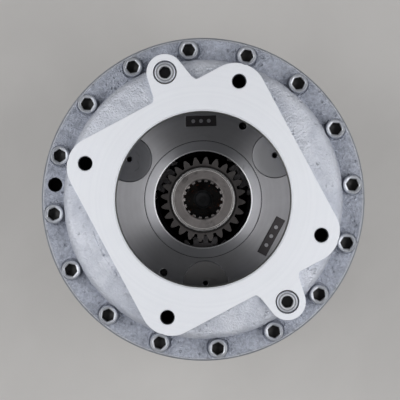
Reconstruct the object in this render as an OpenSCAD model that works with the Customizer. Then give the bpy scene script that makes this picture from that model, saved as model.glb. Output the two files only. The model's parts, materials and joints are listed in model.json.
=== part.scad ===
// Swing gearbox for an excavator: two planetary stages over a pinion shaft.
// Millimetres. Z is the turning axis, up to the motor. Z 0 is the underside
// of the mounting flange, where the gearbox sits on the machine frame.

/* [Motor cover] */
// Side of the square machined motor flange
motor_side = 265; // [262:1:268]
// Corner radius of the motor flange
motor_corner = 38; // [36:1:42]
// Bolt circle of the four motor holes
motor_pcd = 300; // [298:1:302]
// Radius of the four tapped motor holes
motor_hole_r = 8.75; // [8:0.25:9]
// Depth of the tapped motor holes
motor_hole_depth = 26; // [22:1:26]
// Radius of the pilot bore that takes the motor spigot
pilot_r = 107.5; // [104:0.5:108.5]
// Height of the motor face over the cover joint
cover_h = 62; // [60:1:66]
// Thickness of the bolted ring of the cover
cover_flange_t = 26; // [24:1:27]
// Outer radius of the bolted ring of the cover
cover_r = 199.5; // [199:0.5:203]
// Outer radius of the raised round body
body_r = 172.5; // [171:0.5:173]
// Fillet at the foot of the round body
foot_fillet = 1.5; // [1:0.5:3]
// Radius at which the two plug ears stand
ear_ring_r = 161.2; // [160:0.2:162]
// Radius of a plug ear
ear_r = 22.3; // [21:0.1:23]

/* [Bolted joints] */
// Bolt circle through cover, ring gear and case
ring_pcd = 370; // [369:1:372]
// Number of the long bolts
ring_bolts = 16; // [16:16:16]
// Shank radius of the long bolts
bolt_r = 8; // [7:0.5:8]
// Clearance hole radius for the long bolts
bolt_hole_r = 8.75; // [8.5:0.25:9]
// Spot face radius under the bolt heads
spot_r = 14; // [13.5:0.5:14.5]
// Bolt circle of the mounting flange
frame_pcd = 432; // [430:1:434]
// Radius of the mounting holes
frame_hole_r = 11; // [10:0.5:12]
// Outer radius of the mounting flange
frame_flange_r = 233; // [232:1:238]
// Thickness of the mounting flange
frame_flange_t = 26; // [24:1:28]
// Radius of the spigot that centres the gearbox in the frame
frame_spigot_r = 165; // [163:0.5:166]

/* [Stages] */
// Outer radius of the ring gear
ring_r = 204.5; // [204:0.5:208]
// Thickness of the end plates of the first carrier
carrier_1_plate = 14; // [13:0.5:15]
// Room between the plates of the first carrier
planet_1_room = 38; // [37:0.5:39]
// Thickness of the upper plate of the second carrier
carrier_2_plate = 16; // [15:0.5:17]
// Room between the plates of the second carrier
planet_2_room = 62; // [61:0.5:63]
// Outer radius of both carriers
carrier_r = 145; // [143:0.5:147]
// Bore radius of the first carrier's upper plate and its wear ring
wear_bore_r = 60.9; // [60:0.3:61.5]
// Outer radius of the wear ring
wear_ring_r = 73.5; // [72.5:0.5:74]
// Radius of the first stage planet pins
pin_1_r = 29; // [28:0.5:30]
// Radius of the second stage planet pins
pin_2_r = 32; // [31:0.5:33]
// Wall of the planet bushes, first stage
bush_1_wall = 5.9; // [5:0.1:6.5]
// Wall of the planet bushes, second stage
bush_2_wall = 8.9; // [8:0.1:9.5]

/* [Output shaft] */
// Radius of the shaft in the lower bearing
lower_seat_r = 60; // [59:0.5:61]
// Radius of the shaft in the upper bearing
upper_seat_r = 50; // [50:0.5:51]
// Radius the oil seal runs on
seal_run_r = 75; // [74:0.5:75.5]
// Face width of the pinion
pinion_w = 100; // [90:1:110]
// Radius of the neck bore for the lower bearing cup
lower_cup_r = 107.5; // [106.5:0.5:108]
// Radius of the case bore for the upper bearing cup
upper_cup_r = 90; // [89:0.5:91]

/* [Fits] */
// Radial gap of a turning bush on its pin
run_gap = 0.06; // [0.03:0.01:0.1]
// Radial gap of a sliding seat
slide_gap = 0.05; // [0.03:0.01:0.08]
// Radial gap left in a press seat drawn at rest
seat_gap = 0.02; // [0.01:0.01:0.03]
// End gap of the turning parts
end_gap = 0.3; // [0.2:0.05:0.4]
// Thinning of every gear flank
flank_gap = 0.12; // [0.1:0.01:0.16]

/* [Hidden] */
$fn = 96;
big = 400;
// Heights along the axis
case_top = 106;
ring_len = 12 + 22 + planet_2_room + carrier_2_plate + 3 + 2 * carrier_1_plate + planet_1_room - 33;
cover_z = case_top + ring_len;
face_z = cover_z + cover_h;
flange_z = cover_z + cover_flange_t;
roof_z = face_z - 30;
c2_z = case_top - 14;
c2_low = c2_z + 22;
c2_up = c2_low + planet_2_room;
c2_top = c2_up + carrier_2_plate;
c1_z = c2_top + 3;
c1_low = c1_z + carrier_1_plate;
c1_up = c1_low + planet_1_room;
c1_top = c1_up + carrier_1_plate;
bolt_seat_z = flange_z - 2;
bolt_len = bolt_seat_z - 78;
neck_z = -96;
pinion_top = -116;
pinion_z = pinion_top - pinion_w;
// Gear data, one ring gear for both stages
gear_m = 4;
press_angle = 20;
ring_teeth = 81;
sun_1_teeth = 24;
planet_1_teeth = 28;
sun_1_shift = 0.5336;
arm_1 = 106;
sun_2_teeth = 21;
planet_2_teeth = 30;
arm_2 = 102;
ring_tip = 158.8;
ring_root = 167;
ring_phase = -1.5;
carrier_1_phase = 3.5;
carrier_2_phase = 40;
bore_r = 168;
cavity_r = 152;
bolt_ring_r = ring_pcd / 2;
dowel_r = 6;
dowel_turn = 11.25;
jack_turn = 146.25;
ear_turn = 78.75;
drain_turn = 255;
drain_z = 48;
steel = [0.62, 0.63, 0.65];
bright = [0.80, 0.81, 0.83];
cast_grey = [0.55, 0.56, 0.60];
zinc = [0.70, 0.71, 0.70];
dark = [0.30, 0.30, 0.32];
brass = [0.72, 0.58, 0.30];
rubber = [0.10, 0.10, 0.11];

// Involute of a pressure angle, in degrees
function inv(a) = tan(a) * 180 / PI - a;
// Half angle of a tooth at radius r, wider by the flank amount g
function half_angle(m, z, x, r, g) =
    let (rb = m * z * cos(press_angle) / 2, rr = max(r, rb))
    (90 + 2 * x * tan(press_angle) * 180 / PI) / z + inv(press_angle)
    - inv(acos(min(1, rb / rr))) + g / r * 180 / PI;
function polar(r, a) = [r * cos(a), r * sin(a)];
// Outline of one tooth from root to tip and back, then all teeth
function tooth(m, z, x, root, tip, g, n) = concat(
    [for (i = [0:n]) let (r = root + (tip - root) * i / n) [r, -half_angle(m, z, x, r, g)]],
    [for (i = [n:-1:0]) let (r = root + (tip - root) * i / n) [r, half_angle(m, z, x, r, g)]]);
function gear_outline(m, z, x, root, tip, g, turn, n = 5) =
    [for (k = [0:z - 1]) for (p = tooth(m, z, x, root, tip, g, n)) polar(p[0], p[1] + turn + k * 360 / z)];
// Straight sided spline outline, share is the tooth share of a pitch
function spline_outline(n, low, high, share_low, share_high, turn) =
    [for (k = [0:n - 1]) for (p = [[low, -share_low], [high, -share_high], [high, 0], [high, share_high],
        [low, share_low], [low, 0.5]]) polar(p[0], turn + (k + p[1]) * 360 / n)];
// Turns that bring every tooth into its gap
function planet_turn(z, arm_angle) = ring_phase + (arm_angle - ring_phase) * (1 - ring_teeth / z);
function sun_turn(z, zp, arm_angle) =
    ring_phase + (arm_angle - ring_phase) * (1 + ring_teeth / z) - (1 - zp) * 180 / z;

module rod(z0, z1, r) {
    translate([0, 0, z0]) cylinder(h = z1 - z0, r = r);
}
module tube(z0, z1, outer, inner) {
    difference() {
        rod(z0, z1, outer);
        rod(z0 - 1, z1 + 1, inner);
    }
}
module turned(points) {
    rotate_extrude() polygon(points);
}
module around(n, r, start = 0) {
    for (k = [0:n - 1]) rotate([0, 0, start + k * 360 / n]) translate([r, 0, 0]) children();
}
module at_arm(r, a) {
    rotate([0, 0, a]) translate([r, 0, 0]) children();
}
// Socket head screw, seat at the origin, shank down
module socket_screw(shank_r, len, head_r, head_h, key_r, key_depth) {
    difference() {
        union() {
            turned([[0, 0], [head_r - 0.4, 0], [head_r, 0.4], [head_r, head_h - 1.2],
                [head_r - 1.2, head_h], [0, head_h]]);
            turned([[0, 0.5], [shank_r, 0.5], [shank_r, 1.5 - len], [shank_r - 1.5, -len], [0, -len]]);
        }
        translate([0, 0, head_h - key_depth]) cylinder(h = key_depth + 1, r = key_r, $fn = 6);
        translate([0, 0, head_h - 0.8]) cylinder(h = 1.8, r1 = key_r - 0.6, r2 = key_r + 1.2);
    }
}
// Screw plug, seat at the origin, thread down
module screw_plug() {
    difference() {
        union() {
            turned([[0, 0], [12.4, 0], [12.8, 0.4], [12.8, 6.4], [11.6, 7.6], [0, 7.6]]);
            turned([[0, 0.5], [10.9, 0.5], [10.9, -14], [9.6, -15.5], [0, -15.5]]);
        }
        translate([0, 0, 1.6]) cylinder(h = 8, r = 7.6, $fn = 6);
        translate([0, 0, 6.8]) cylinder(h = 1.8, r1 = 7, r2 = 8.8);
    }
}
module plug_washer() {
    tube(0, 1.5, 13.6, 11.2);
}
module at_ear(side) {
    at_arm(ear_ring_r, side * ear_turn) children();
}
module at_drain() {
    rotate([0, 0, drain_turn]) translate([188, 0, drain_z]) rotate([0, 90, 0]) children();
}

// Motor cover
ear_x = ear_ring_r * cos(ear_turn);
ear_y = ear_ring_r * sin(ear_turn);
half_side = motor_side / 2;
module motor_square() {
    inner = half_side - motor_corner;
    square([2 * inner, motor_side], center = true);
    square([motor_side, 2 * inner], center = true);
    for (i = [-1, 1]) for (j = [-1, 1]) translate([i * inner, j * inner]) circle(motor_corner);
}
module ear_shape() {
    difference() {
        union() {
            translate([ear_x, ear_y]) circle(ear_r);
            polygon([[ear_x - 32.5, half_side - 20], [ear_x - 32.5, half_side], [ear_x - 27.5, half_side],
                [ear_x - 0.9826 * ear_r, ear_y + 0.1857 * ear_r], [ear_x + 0.9826 * ear_r, ear_y + 0.1857 * ear_r],
                [ear_x + 27.5, half_side], [ear_x + 32.5, half_side], [ear_x + 32.5, half_side - 20]]);
            for (i = [-1, 1]) translate([ear_x + i * 29, half_side + 2.5]) square([7, 5.1], center = true);
        }
        for (i = [-1, 1]) translate([ear_x + i * 32.5, half_side + 5]) circle(5);
    }
}
shoulder_x = body_r - 14;
shoulder_z = face_z - 26;
module cover_body() {
    turned(concat(
        [[cavity_r, cover_z - 3.3], [cavity_r + 1.5, cover_z - 4.8], [bore_r - slide_gap - 1, cover_z - 4.8],
            [bore_r - slide_gap, cover_z - 3.8], [bore_r - slide_gap, cover_z], [cover_r - 1, cover_z],
            [cover_r, cover_z + 1], [cover_r, flange_z - 2.5], [cover_r - 2.5, flange_z]],
        [for (a = [0:22.5:90]) [body_r + foot_fillet * (1 - sin(a)), flange_z + foot_fillet * (1 - cos(a))]],
        [for (a = [90:-12:18]) [shoulder_x + 14 * sin(a), shoulder_z + 14 * cos(a)]],
        [[135, face_z - 4], [pilot_r, face_z - 4], [pilot_r, roof_z], [cavity_r - 10, roof_z],
            [cavity_r - 3, roof_z - 3], [cavity_r, roof_z - 10]]));
}
// Plain raised pad on the slope where a casting carries its marks
module slope_pad() {
    rotate([0, 0, 168]) rotate_extrude(angle = 25) polygon([[139.5, face_z - 9], [150.5, face_z - 12],
        [150.5, face_z - 8.2], [149.7, face_z - 7.7], [140.3, face_z - 4.7], [139.5, face_z - 4.9]]);
}
module motor_flange_cover() color(cast_grey) difference() {
    union() {
        cover_body();
        translate([0, 0, face_z - 16]) linear_extrude(16) difference() {
            motor_square();
            circle(pilot_r);
        }
        for (side = [0, 1]) mirror([0, side, 0]) translate([0, 0, flange_z - 6])
            linear_extrude(face_z - flange_z + 6) difference() {
                ear_shape();
                circle(pilot_r + 6);
            }
        slope_pad();
        at_arm(147.4, 4.3) translate([0, 0, face_z - 20]) cylinder(h = 13, r = 2.6, $fn = 24);
    }
    translate([0, 0, face_z - 2]) cylinder(h = 2.01, r1 = pilot_r - 0.01, r2 = pilot_r + 2);
    around(4, motor_pcd / 2, 45) {
        rod(face_z - motor_hole_depth, face_z + 1, motor_hole_r);
        translate([0, 0, face_z - 1]) cylinder(h = 1.01, r1 = motor_hole_r, r2 = motor_hole_r + 1);
    }
    around(ring_bolts, bolt_ring_r) {
        rod(cover_z - 1, flange_z + 1, bolt_hole_r);
        rod(bolt_seat_z, face_z + 2, spot_r);
    }
    at_arm(bolt_ring_r, jack_turn) rod(cover_z - 1, flange_z + 1, 9);
    for (side = [-1, 1]) at_ear(side) {
        rod(face_z - 10, face_z + 1, 14.5);
        rod(face_z - 26, face_z - 9, 11);
        rod(cover_z - 6, face_z - 25, 5);
    }
    for (k = [0, 180]) at_arm(bolt_ring_r, dowel_turn + k) rod(cover_z - 1, cover_z + 12.5, dowel_r + seat_gap);
    tube(cover_z - 1, cover_z + 3, 173.5, 169.5);
}

// Ring gear shared by both stages
module ring_gear() color(bright) difference() {
    turned([[150, case_top], [ring_r - 2.5, case_top], [ring_r, case_top + 2.5], [ring_r, case_top + 14],
        [ring_r - 2, case_top + 16], [ring_r - 2, cover_z - 16], [ring_r, cover_z - 14],
        [ring_r, cover_z - 2.5], [ring_r - 2.5, cover_z], [150, cover_z]]);
    translate([0, 0, case_top - 1]) linear_extrude(ring_len + 2) polygon(
        gear_outline(gear_m, ring_teeth, 0, ring_tip, ring_root, flank_gap, ring_phase));
    rod(case_top - 1, case_top + 5.2, bore_r);
    rod(cover_z - 5.2, cover_z + 1, bore_r);
    around(ring_bolts, bolt_ring_r) rod(case_top - 1, cover_z + 1, bolt_hole_r);
    for (k = [0, 180]) at_arm(bolt_ring_r, dowel_turn + k) {
        rod(case_top - 1, case_top + 12.5, dowel_r + seat_gap);
        rod(cover_z - 12.5, cover_z + 1, dowel_r + seat_gap);
    }
}

// Cast case with mounting flange, sump and bearing bores
module case_rib() {
    rotate([90, 0, 0]) translate([0, 0, -5]) linear_extrude(10) polygon(
        [[160, 20], [195, 20], [195, 30], [191, 44], [191, 66], [194, 80], [160, 80]]);
}
module drive_case() color(cast_grey) difference() {
    union() {
        turned([[0, neck_z], [127, neck_z], [128, neck_z + 1], [150, -22], [150, -12],
            [frame_spigot_r - 1.5, -12], [frame_spigot_r, -10.5], [frame_spigot_r, 0],
            [frame_flange_r - 1.5, 0], [frame_flange_r, 1.5], [frame_flange_r, frame_flange_t - 3],
            [frame_flange_r - 3, frame_flange_t], [186, frame_flange_t], [178, frame_flange_t + 4],
            [173, frame_flange_t + 12], [172, 66], [174, 72], [180, 76], [ring_r - 2, 76],
            [ring_r, 78], [ring_r, case_top - 1.5], [ring_r - 1.5, case_top],
            [bore_r - slide_gap, case_top], [bore_r - slide_gap, case_top + 3.8],
            [bore_r - slide_gap - 1, case_top + 4.8], [0, case_top + 4.8]]);
        around(8, 0, 11.25) case_rib();
        rotate([0, 0, drain_turn]) translate([150, 0, drain_z]) rotate([0, 90, 0]) {
            cylinder(h = 36, r = 19);
            translate([0, 0, 36]) cylinder(h = 2, r1 = 19, r2 = 17.5);
        }
    }
    rod(84, case_top + 8, cavity_r);
    difference() {
        turned([[104, 34], [108, 30], [146, 30], [152, 36], [152, 85], [103, 85]]);
        around(8, 0, 33.75) translate([90, -5, 20]) cube([70, 10, 56]);
    }
    rod(36, 85, upper_cup_r);
    rod(-50, 40, 80);
    turned([[0, -34], [92, -34], [97, -28], [97, 20], [92, 26], [0, 26]]);
    rod(neck_z - 1, -45, lower_cup_r);
    turned([[0, neck_z - 1], [lower_cup_r + 2, neck_z - 1], [lower_cup_r, neck_z + 1], [0, neck_z + 1]]);
    tube(case_top - 3, case_top + 1, 173.5, 169.5);
    around(ring_bolts, bolt_ring_r) rod(70, case_top + 1, bolt_r + 0.2);
    for (k = [0, 180]) at_arm(bolt_ring_r, dowel_turn + k)
        rod(case_top - 12.5, case_top + 1, dowel_r + seat_gap);
    around(12, frame_pcd / 2) {
        rod(-1, frame_flange_t + 1, frame_hole_r);
        rod(frame_flange_t - 0.8, frame_flange_t + 3, 19);
    }
    around(8, 118.5, 22.5) rod(neck_z - 1, neck_z + 26, 5.15);
    at_drain() {
        translate([0, 0, -20]) cylinder(h = 30, r = 11);
        translate([0, 0, -44]) cylinder(h = 30, r = 7);
    }
}
module cover_bolts() color(zinc) around(ring_bolts, bolt_ring_r) translate([0, 0, bolt_seat_z])
    rotate([0, 0, 12]) socket_screw(bolt_r, bolt_len, 12, 16, 8.08, 8);
module dowel_pins() color(steel) for (k = [0, 180]) for (z = [case_top, cover_z])
    at_arm(bolt_ring_r, dowel_turn + k) translate([0, 0, z])
        turned([[0, -12], [dowel_r - 1, -12], [dowel_r, -11], [dowel_r, 11], [dowel_r - 1, 12], [0, 12]]);
module fill_plug() color(zinc) at_ear(1) translate([0, 0, face_z - 8.5]) screw_plug();
module level_plug() color(zinc) at_ear(-1) translate([0, 0, face_z - 8.5]) screw_plug();
module plug_seals() color(brass) for (side = [-1, 1]) at_ear(side) translate([0, 0, face_z - 10]) plug_washer();
module cover_o_ring() color(rubber) translate([0, 0, cover_z + 1.5]) rotate_extrude() translate([171.5, 0])
    circle(1.4, $fn = 24);
module case_o_ring() color(rubber) translate([0, 0, case_top - 1.5]) rotate_extrude() translate([171.5, 0])
    circle(1.4, $fn = 24);
module drain_plug() color(zinc) at_drain() translate([0, 0, 1.5]) screw_plug();
module drain_seal() color(brass) at_drain() plug_washer();

// Taper roller bearings: apex height, sense, tilt, roller angle, near end, far end
upper_set = [54 - 270.46 * cos(15), 1, 15, 1.48, 257.46, 283.46];
lower_set = [-66 + 324.55 * cos(15), -1, 15, 1.518, 310.05, 339.05];
upper_count = 24;
lower_count = 24;
function race(s, d, h) = [d * sin(s[2]) + h * cos(s[2]), s[0] + s[1] * (d * cos(s[2]) - h * sin(s[2]))];
function cup_in(s, z) = tan(s[2] + s[3]) * abs(z - s[0]);
module bearing_cup(s, outer, back_z, front_z) {
    turned([[cup_in(s, back_z), back_z], [outer - 1.5, back_z], [outer, back_z + s[1] * 1.5],
        [outer, front_z - s[1] * 1.5], [outer - 1.5, front_z], [cup_in(s, front_z), front_z]]);
}
module bearing_cone(s, bore, front_z, back_z, low_rib, high_rib) {
    r1 = s[4] * tan(s[3]);
    r2 = s[5] * tan(s[3]);
    a = race(s, s[4] - 0.15, low_rib - r1);
    b = race(s, s[5] + 0.15, high_rib - r2);
    turned([[bore, front_z], [a[0], front_z], a, race(s, s[4] - 0.15, -r1), race(s, s[5] + 0.15, -r2), b,
        [b[0], back_z - s[1] * 1], [b[0] - 1, back_z], [bore + 1.5, back_z], [bore, back_z - s[1] * 1.5]]);
}
module at_roller(s, n) {
    around(n, 0) translate([0, 0, s[0]]) mirror([0, 0, s[1] > 0 ? 0 : 1]) rotate([0, s[2], 0])
        translate([0, 0, s[4]]) children();
}
module bearing_rollers(s, n) {
    at_roller(s, n) cylinder(h = s[5] - s[4], r1 = s[4] * tan(s[3]) - 0.04, r2 = s[5] * tan(s[3]) - 0.04, $fn = 32);
}
module bearing_cage(s, n) {
    wide = 2 * (s[5] * tan(s[3]) + 0.3);
    difference() {
        turned([race(s, s[4] - 3.4, 1), race(s, s[5] + 3.4, 1), race(s, s[5] + 3.4, 2.8),
            race(s, s[4] - 3.4, 2.8)]);
        at_roller(s, n) translate([-12, -wide / 2, -0.3]) cube([24, wide, s[5] - s[4] + 0.6]);
    }
}
module upper_bearing_cup() color(steel) bearing_cup(upper_set, upper_cup_r - seat_gap, 36, 70);
module lower_bearing_cup() color(steel) bearing_cup(lower_set, lower_cup_r - seat_gap, -45, -84);
module upper_bearing_cone() color(steel) bearing_cone(upper_set, upper_seat_r + seat_gap, 38, 74, 2, 3.2);
module lower_bearing_cone() color(steel) bearing_cone(lower_set, lower_seat_r + seat_gap, -47, -88, 2.4, 3.8);
module upper_bearing_cage() color(brass) bearing_cage(upper_set, upper_count);
module upper_bearing_rollers() color(bright) bearing_rollers(upper_set, upper_count);
module lower_bearing_cage() color(brass) bearing_cage(lower_set, lower_count);
module lower_bearing_rollers() color(bright) bearing_rollers(lower_set, lower_count);

// Seal carrier under the case neck
module seal_retainer() color(cast_grey) difference() {
    turned([[92 + seat_gap, -112], [125.5, -112], [127, -110.5], [127, -97], [126, neck_z],
        [lower_cup_r - 0.1, neck_z], [lower_cup_r - 0.1, -92.6], [104.7, -92.6], [104.7, -89.4],
        [lower_cup_r - 0.1, -89.4], [lower_cup_r - 0.1, -87], [lower_cup_r - 1.1, -86], [99, -86],
        [99, neck_z + 1], [88, neck_z + 1], [88, -97.5], [92 + seat_gap, -97.5]]);
    around(8, 118.5, 22.5) rod(-113, -95, 5.5);
}
module retainer_bolts() color(zinc) around(8, 118.5, 22.5) translate([0, 0, -112]) mirror([0, 0, 1])
    socket_screw(5, 30, 8, 10, 4.6, 5);
module retainer_o_ring() color(rubber) translate([0, 0, -91]) rotate_extrude()
    translate([(104.7 + lower_cup_r) / 2, 0]) circle((lower_cup_r - 104.9) / 2, $fn = 24);
module output_oil_seal() color(rubber) turned([[92 - seat_gap, -111], [92 - seat_gap, -98], [86, -98],
    [84, -104], [80, -104], [78.5, -100], [77, -100], [seal_run_r + slide_gap, -102.5], [77, -108],
    [80, -111]]);

// First stage, driven by the motor through the sun gear
sun_1_phase = sun_turn(sun_1_teeth, planet_1_teeth, carrier_1_phase);
module sun_gear_1() color(steel) difference() {
    union() {
        translate([0, 0, c1_low + 1]) linear_extrude(planet_1_room - 2) polygon(
            gear_outline(gear_m, sun_1_teeth, sun_1_shift, 45.13, 54, -flank_gap, sun_1_phase));
        turned([[0, c1_low + 2], [40, c1_low + 2], [40, c1_top + 1.5], [38.5, c1_top + 3], [0, c1_top + 3]]);
    }
    translate([0, 0, c1_low]) linear_extrude(big) polygon(spline_outline(18, 22.5, 25, 0.30, 0.20, 3));
    translate([0, 0, c1_top + 1]) cylinder(h = 2.01, r1 = 23.5, r2 = 26);
    translate([0, 0, c1_low + 0.99]) cylinder(h = 2, r1 = 26, r2 = 23.5);
}
module planet_windows(arm, r, phase) {
    for (k = [0:2]) rotate([0, 0, phase + 120 * k]) translate([arm, 0]) circle(r);
}
module pin_holes(z0, z1, arm, r, phase) {
    around(3, arm, phase) rod(z0, z1, r);
}
module lock_holes(z, far, near, r, phase) {
    for (k = [0:2]) rotate([0, 0, phase + 120 * k]) translate([near, 0, z]) rotate([0, 90, 0])
        cylinder(h = far - near, r = r, $fn = 32);
}
// Recessed plain pad with three pips on the carrier plate
module carrier_pad(r, turn, long, wide) {
    at_arm(r, turn) translate([0, 0, c1_top - 1]) difference() {
        translate([-wide / 2, -long / 2, 0]) cube([wide, long, 2]);
        for (i = [-1:1]) translate([0, i * long / 4, -1]) cylinder(h = 1.6, r = 2.4, $fn = 24);
    }
}
module carrier_1() color(steel) difference() {
    union() {
        turned([[0, c1_z], [carrier_r - 2, c1_z], [carrier_r, c1_z + 2], [carrier_r, c1_low], [0, c1_low]]);
        turned([[0, c1_up], [carrier_r, c1_up], [carrier_r, c1_top - 2], [carrier_r - 2, c1_top], [0, c1_top]]);
        translate([0, 0, c1_low - 1]) linear_extrude(planet_1_room + 2) difference() {
            circle(carrier_r - 1.5);
            circle(57);
            planet_windows(arm_1, 63, carrier_1_phase);
        }
    }
    translate([0, 0, c1_z - 1]) linear_extrude(carrier_1_plate + 2) polygon(gear_outline(gear_m,
        sun_2_teeth, 0, 37.3, 46.3, flank_gap, sun_2_phase));
    rod(c1_up - 1, c1_top + 1, wear_bore_r);
    rod(c1_top - 6, c1_top + 1, wear_ring_r + slide_gap);
    pin_holes(c1_z - 1, c1_top + 1, arm_1, pin_1_r + slide_gap, carrier_1_phase);
    lock_holes(c1_top - carrier_1_plate / 2, carrier_r + 1, 130, 3 + slide_gap, carrier_1_phase);
    for (k = [30, 210]) at_arm(104.9, carrier_1_phase + k) {
        rod(c1_up - 1, c1_top + 1, 4.25);
        translate([0, 0, c1_top - 1]) cylinder(h = 1.01, r1 = 4.25, r2 = 5.25);
    }
    carrier_pad(98.7, carrier_1_phase + 60, 39, 13.5);
    carrier_pad(97.5, carrier_1_phase - 60, 51, 12.5);
}
module carrier_1_wear_ring() color(steel) turned([[wear_bore_r, c1_top - 6], [wear_ring_r, c1_top - 6],
    [wear_ring_r, c1_top - 0.5], [wear_ring_r - 0.5, c1_top], [wear_bore_r + 0.5, c1_top], [wear_bore_r, c1_top - 0.5]]);
module pin_body(z0, z1, r) {
    turned([[3, z0], [r - 1.5, z0], [r, z0 + 1.5], [r, z1 - 1], [r - 1, z1], [4, z1], [3, z1 - 1]]);
}
module planet_pins_1() color(bright) difference() {
    around(3, arm_1, carrier_1_phase) pin_body(c1_z + 0.4, c1_top - 0.5, pin_1_r);
    lock_holes(c1_top - carrier_1_plate / 2, carrier_r, 111, 3 + slide_gap, carrier_1_phase);
    for (k = [0:2]) rotate([0, 0, carrier_1_phase + 120 * k]) translate([arm_1, 0, (c1_low + c1_up) / 2])
        rotate([0, 90, 0]) cylinder(h = 40, r = 3, $fn = 32);
}
module lock_pins_1() color(dark) lock_holes(c1_top - carrier_1_plate / 2, carrier_r - 3, 112, 3, carrier_1_phase);
module washer_pair(z0, z1, arm, r, outer, phase) {
    around(3, arm, phase) {
        tube(z0, z0 + 1, outer, r + 0.3);
        tube(z1 - 1, z1, outer, r + 0.3);
    }
}
module thrust_washers_1() color(brass) washer_pair(c1_low, c1_up, arm_1, pin_1_r, 44, carrier_1_phase);
module planet(arm, phase, k, z0, z1, teeth, root, tip, bore) {
    arm_angle = phase + 120 * k;
    at_arm(arm, arm_angle) difference() {
        translate([0, 0, z0]) linear_extrude(z1 - z0) polygon(gear_outline(gear_m, teeth, 0, root, tip,
            -flank_gap, planet_turn(teeth, arm_angle) - arm_angle));
        rod(z0 - 1, z1 + 1, bore);
        translate([0, 0, z0 - 0.01]) cylinder(h = 1.51, r1 = bore + 1.5, r2 = bore);
        translate([0, 0, z1 - 1.5]) cylinder(h = 1.51, r1 = bore, r2 = bore + 1.5);
    }
}
p1_z0 = c1_low + 1 + end_gap;
p1_z1 = c1_up - 1 - end_gap;
bore_1 = pin_1_r + run_gap + bush_1_wall;
module planet_1(k) color(steel)
    planet(arm_1, carrier_1_phase, k, p1_z0, p1_z1, planet_1_teeth, 51, 59.87, bore_1 + seat_gap);
module bush_1(k) color(brass) at_arm(arm_1, carrier_1_phase + 120 * k)
    turned([[pin_1_r + run_gap, p1_z0], [bore_1 - 1, p1_z0], [bore_1, p1_z0 + 1], [bore_1, p1_z1 - 1],
        [bore_1 - 1, p1_z1], [pin_1_r + run_gap, p1_z1]]);
module planet_gear_1a() planet_1(0);
module planet_gear_1b() planet_1(1);
module planet_gear_1c() planet_1(2);
module planet_bush_1a() bush_1(0);
module planet_bush_1b() bush_1(1);
module planet_bush_1c() bush_1(2);

// Second sun gear, held in the first carrier by its own teeth
sun_2_phase = sun_turn(sun_2_teeth, planet_2_teeth, carrier_2_phase);
module sun_gear_2() color(steel) difference() {
    translate([0, 0, c2_low + 3]) linear_extrude(c1_low - 2 - c2_low - 3) polygon(
        gear_outline(gear_m, sun_2_teeth, 0, 37, 46, -flank_gap, sun_2_phase));
    rod(c2_low, c1_low, 24);
    translate([0, 0, c2_low + 2.99]) cylinder(h = 2.01, r1 = 26, r2 = 24);
    translate([0, 0, c1_low - 4]) cylinder(h = 2.01, r1 = 24, r2 = 26);
    tube(c1_z - 2.5, c1_z - 0.5, 50, 42);
}
module sun_2_snap_ring() color(dark) difference() {
    tube(c1_z - 2.4, c1_z - 0.6, 48.5, 42.2);
    translate([30, -4, c1_z - 5]) cube([30, 8, 8]);
}
module thrust_pad() color(brass) difference() {
    turned([[12, c1_low - 2], [34, c1_low - 2], [34, c1_low + 0.2], [33.5, c1_low + 0.7], [12, c1_low + 0.7]]);
    around(3, 23, 0) rod(c1_low - 3, c1_low + 2, 2);
}

// Second stage and output shaft
module shaft_spline(share, low, high) {
    polygon(spline_outline(24, low, high, share + 0.06, share - 0.06, 0));
}
module carrier_2() color(steel) difference() {
    union() {
        turned([[0, 74], [66.5, 74], [67.5, 75], [67.5, c2_z - 2], [69, c2_z], [carrier_r - 2, c2_z],
            [carrier_r, c2_z + 2], [carrier_r, c2_low], [0, c2_low]]);
        turned([[0, c2_up], [carrier_r, c2_up], [carrier_r, c2_top - 2], [carrier_r - 2, c2_top], [0, c2_top]]);
        translate([0, 0, c2_low - 1]) linear_extrude(planet_2_room + 2) difference() {
            circle(carrier_r - 1.5);
            circle(51);
            planet_windows(arm_2, 66.5, carrier_2_phase);
        }
    }
    translate([0, 0, 73]) linear_extrude(30) shaft_spline(0.28, upper_seat_r - 4 + 0.15, upper_seat_r + 0.15);
    rod(96, c2_low + 1, 54);
    rod(c2_up - 1, c2_top + 1, 49);
    tube(c2_top - 1, c2_top + 1, 67 + slide_gap, 53 - slide_gap);
    pin_holes(c2_z - 1, c2_top + 1, arm_2, pin_2_r + slide_gap, carrier_2_phase);
    lock_holes(c2_top - carrier_2_plate / 2, carrier_r + 1, 128, 3 + slide_gap, carrier_2_phase);
}
module planet_pins_2() color(bright) difference() {
    around(3, arm_2, carrier_2_phase) pin_body(c2_z + 0.4, c2_top - 0.5, pin_2_r);
    lock_holes(c2_top - carrier_2_plate / 2, carrier_r, 109, 3 + slide_gap, carrier_2_phase);
    for (k = [0:2]) rotate([0, 0, carrier_2_phase + 120 * k]) translate([arm_2, 0, (c2_low + c2_up) / 2])
        rotate([0, 90, 0]) cylinder(h = 40, r = 3, $fn = 32);
}
module lock_pins_2() color(dark) lock_holes(c2_top - carrier_2_plate / 2, carrier_r - 3, 110, 3, carrier_2_phase);
module thrust_washers_2() color(brass) washer_pair(c2_low, c2_up, arm_2, pin_2_r, 49, carrier_2_phase);
p2_z0 = c2_low + 1 + end_gap;
p2_z1 = c2_up - 1 - end_gap;
bore_2 = pin_2_r + run_gap + bush_2_wall;
module planet_2(k) color(steel)
    planet(arm_2, carrier_2_phase, k, p2_z0, p2_z1, planet_2_teeth, 55, 64, bore_2 + seat_gap);
module bush_2(k) color(brass) at_arm(arm_2, carrier_2_phase + 120 * k)
    turned([[pin_2_r + run_gap, p2_z0], [bore_2 - 1, p2_z0], [bore_2, p2_z0 + 1], [bore_2, p2_z1 - 1],
        [bore_2 - 1, p2_z1], [pin_2_r + run_gap, p2_z1]]);
module planet_gear_2a() planet_2(0);
module planet_gear_2b() planet_2(1);
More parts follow.
